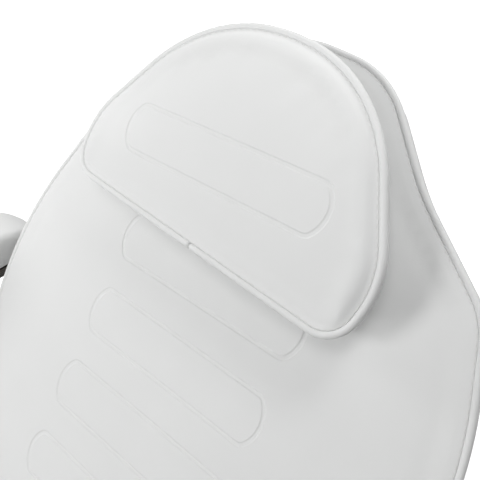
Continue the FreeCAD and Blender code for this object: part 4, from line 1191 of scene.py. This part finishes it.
class CHAIR_OT_cushions(Operator):
    """Upholster the seat, the back and the leg rest"""

    bl_idname = "chair.cushions"
    bl_label = "Seat, back and leg cushions"

    def execute(self, context):
        leather = leather_finish("cover_leather", COVER_GRAIN)
        for kind in ("back", "seat", "leg"):
            upholster(kind, leather)
        return {"FINISHED"}


class CHAIR_OT_pillow(Operator):
    """Upholster the head pillow"""

    bl_idname = "chair.pillow"
    bl_label = "Head pillow"

    def execute(self, context):
        upholster("pillow", leather_finish("pillow_leather", COVER_GRAIN))
        return {"FINISHED"}


class CHAIR_OT_piping(Operator):
    """Sew the welts into the seams of the four cushions"""

    bl_idname = "chair.piping"
    bl_label = "Piping and seams"

    def execute(self, context):
        leather = leather_finish("welt_leather", WELT_GRAIN)
        thread = thread_finish(context.scene.chair_cover.thread_colour)
        for kind in ("back", "pillow", "seat", "leg"):
            sew_piping(kind, leather, thread)
        return {"FINISHED"}


class CHAIR_OT_armrests(Operator):
    """Upholster the two armrest pads"""

    bl_idname = "chair.armrests"
    bl_label = "Armrest pads"

    def execute(self, context):
        leather = leather_finish("armrest_leather", COVER_GRAIN)
        for side in ("left", "right"):
            upholster_arm(side, leather)
        return {"FINISHED"}


class CHAIR_OT_frame(Operator):
    """Finish the steel frame, the armrest posts and the struts"""

    bl_idname = "chair.frame"
    bl_label = "Steel frame"

    def execute(self, context):
        colours = context.scene.chair_finish
        dress_nodes("white_paint", paint_finish("frame_powder_coat", colours.steel_paint, gloss=0.34))
        dress_nodes("black_paint", paint_finish("dark_powder_coat", colours.dark_paint, gloss=0.40))
        dress_nodes("plain_steel", steel_finish(colours.steel))
        return {"FINISHED"}


class CHAIR_OT_pedestal(Operator):
    """Finish the plated base cover and the telescopic column"""

    bl_idname = "chair.pedestal"
    bl_label = "Pedestal"

    def execute(self, context):
        dress_nodes("chrome", chrome_finish(context.scene.chair_finish.chrome))
        return {"FINISHED"}


class CHAIR_OT_boards(Operator):
    """Finish the plywood boards under the cushions"""

    bl_idname = "chair.boards"
    bl_label = "Boards"

    def execute(self, context):
        colour = context.scene.chair_finish.board
        level = board_finish("level_plywood", colour, tilt=0.0)
        for node in ("seat_board", "arm_board_left", "arm_board_right"):
            dress(node, level)
        for kind in ("back", "leg"):
            dress(kind + "_board", board_finish(kind + "_plywood", colour, tilt=PLACES[kind][1]))
        return {"FINISHED"}


class CHAIR_OT_small_parts(Operator):
    """Finish the mat, the pedal pad, the knobs, the grips and the tapes"""

    bl_idname = "chair.small_parts"
    bl_label = "Rubber, plastic and tape"

    def execute(self, context):
        colours = context.scene.chair_finish
        dress_nodes("black_rubber", rubber_finish(colours.rubber))
        dress_nodes("black_plastic", plastic_finish(colours.plastic))
        dress_nodes("fastening_tape", tape_finish(colours.tape))
        return {"FINISHED"}


class CHAIR_OT_stage(Operator):
    """Set the floor, the lamps and the camera"""

    bl_idname = "chair.stage"
    bl_label = "Stage"

    def execute(self, context):
        stage = context.scene.chair_stage
        for obj in context.selected_objects:
            obj.select_set(False)
        bpy.ops.mesh.primitive_plane_add(size=FLOOR_SIZE, location=(0.0, 0.0, 0.0))
        floor = context.object
        floor.name = "studio_floor"
        floor.data.materials.append(floor_finish(stage))
        context.scene.world = white_room(stage.ambient)
        for name, (place_at, aim_at, size) in LAMPS.items():
            area_lamp(name + "_lamp", place_at, aim_at, size, getattr(stage, name + "_power"))
        context.scene.camera = photo_camera(stage.lens)
        context.scene.view_settings.view_transform = "Standard"
        return {"FINISHED"}


class CHAIR_PT_build(Panel):
    """Sidebar list of the steps and their settings"""

    bl_label = "Treatment chair"
    bl_idname = "CHAIR_PT_build"
    bl_space_type = "VIEW_3D"
    bl_region_type = "UI"
    bl_category = "Chair"

    def draw(self, context):
        for step in STEPS:
            self.layout.operator(step.bl_idname)
        for settings in (context.scene.chair_cover, context.scene.chair_finish, context.scene.chair_stage):
            box = self.layout.box()
            for name in settings.__annotations__:
                box.prop(settings, name)


STEPS = (CHAIR_OT_cushions, CHAIR_OT_pillow, CHAIR_OT_piping, CHAIR_OT_armrests, CHAIR_OT_frame,
         CHAIR_OT_pedestal, CHAIR_OT_boards, CHAIR_OT_small_parts, CHAIR_OT_stage)
GROUPS = (ChairCoverSettings, ChairFinishSettings, ChairStageSettings)


def register():
    """Registers the settings, the steps and the panel."""
    for group in GROUPS + STEPS + (CHAIR_PT_build,):
        bpy.utils.register_class(group)
    bpy.types.Scene.chair_cover = PointerProperty(type=ChairCoverSettings)
    bpy.types.Scene.chair_finish = PointerProperty(type=ChairFinishSettings)
    bpy.types.Scene.chair_stage = PointerProperty(type=ChairStageSettings)


def unregister():
    """Takes the settings, the steps and the panel away again."""
    del bpy.types.Scene.chair_stage
    del bpy.types.Scene.chair_finish
    del bpy.types.Scene.chair_cover
    for group in reversed(GROUPS + STEPS + (CHAIR_PT_build,)):
        bpy.utils.unregister_class(group)


def main():
    """Runs every step in order."""
    register()
    bpy.ops.chair.cushions()
    bpy.ops.chair.pillow()
    bpy.ops.chair.piping()
    bpy.ops.chair.armrests()
    bpy.ops.chair.frame()
    bpy.ops.chair.pedestal()
    bpy.ops.chair.boards()
    bpy.ops.chair.small_parts()
    bpy.ops.chair.stage()


if __name__ == "__main__":
    main()
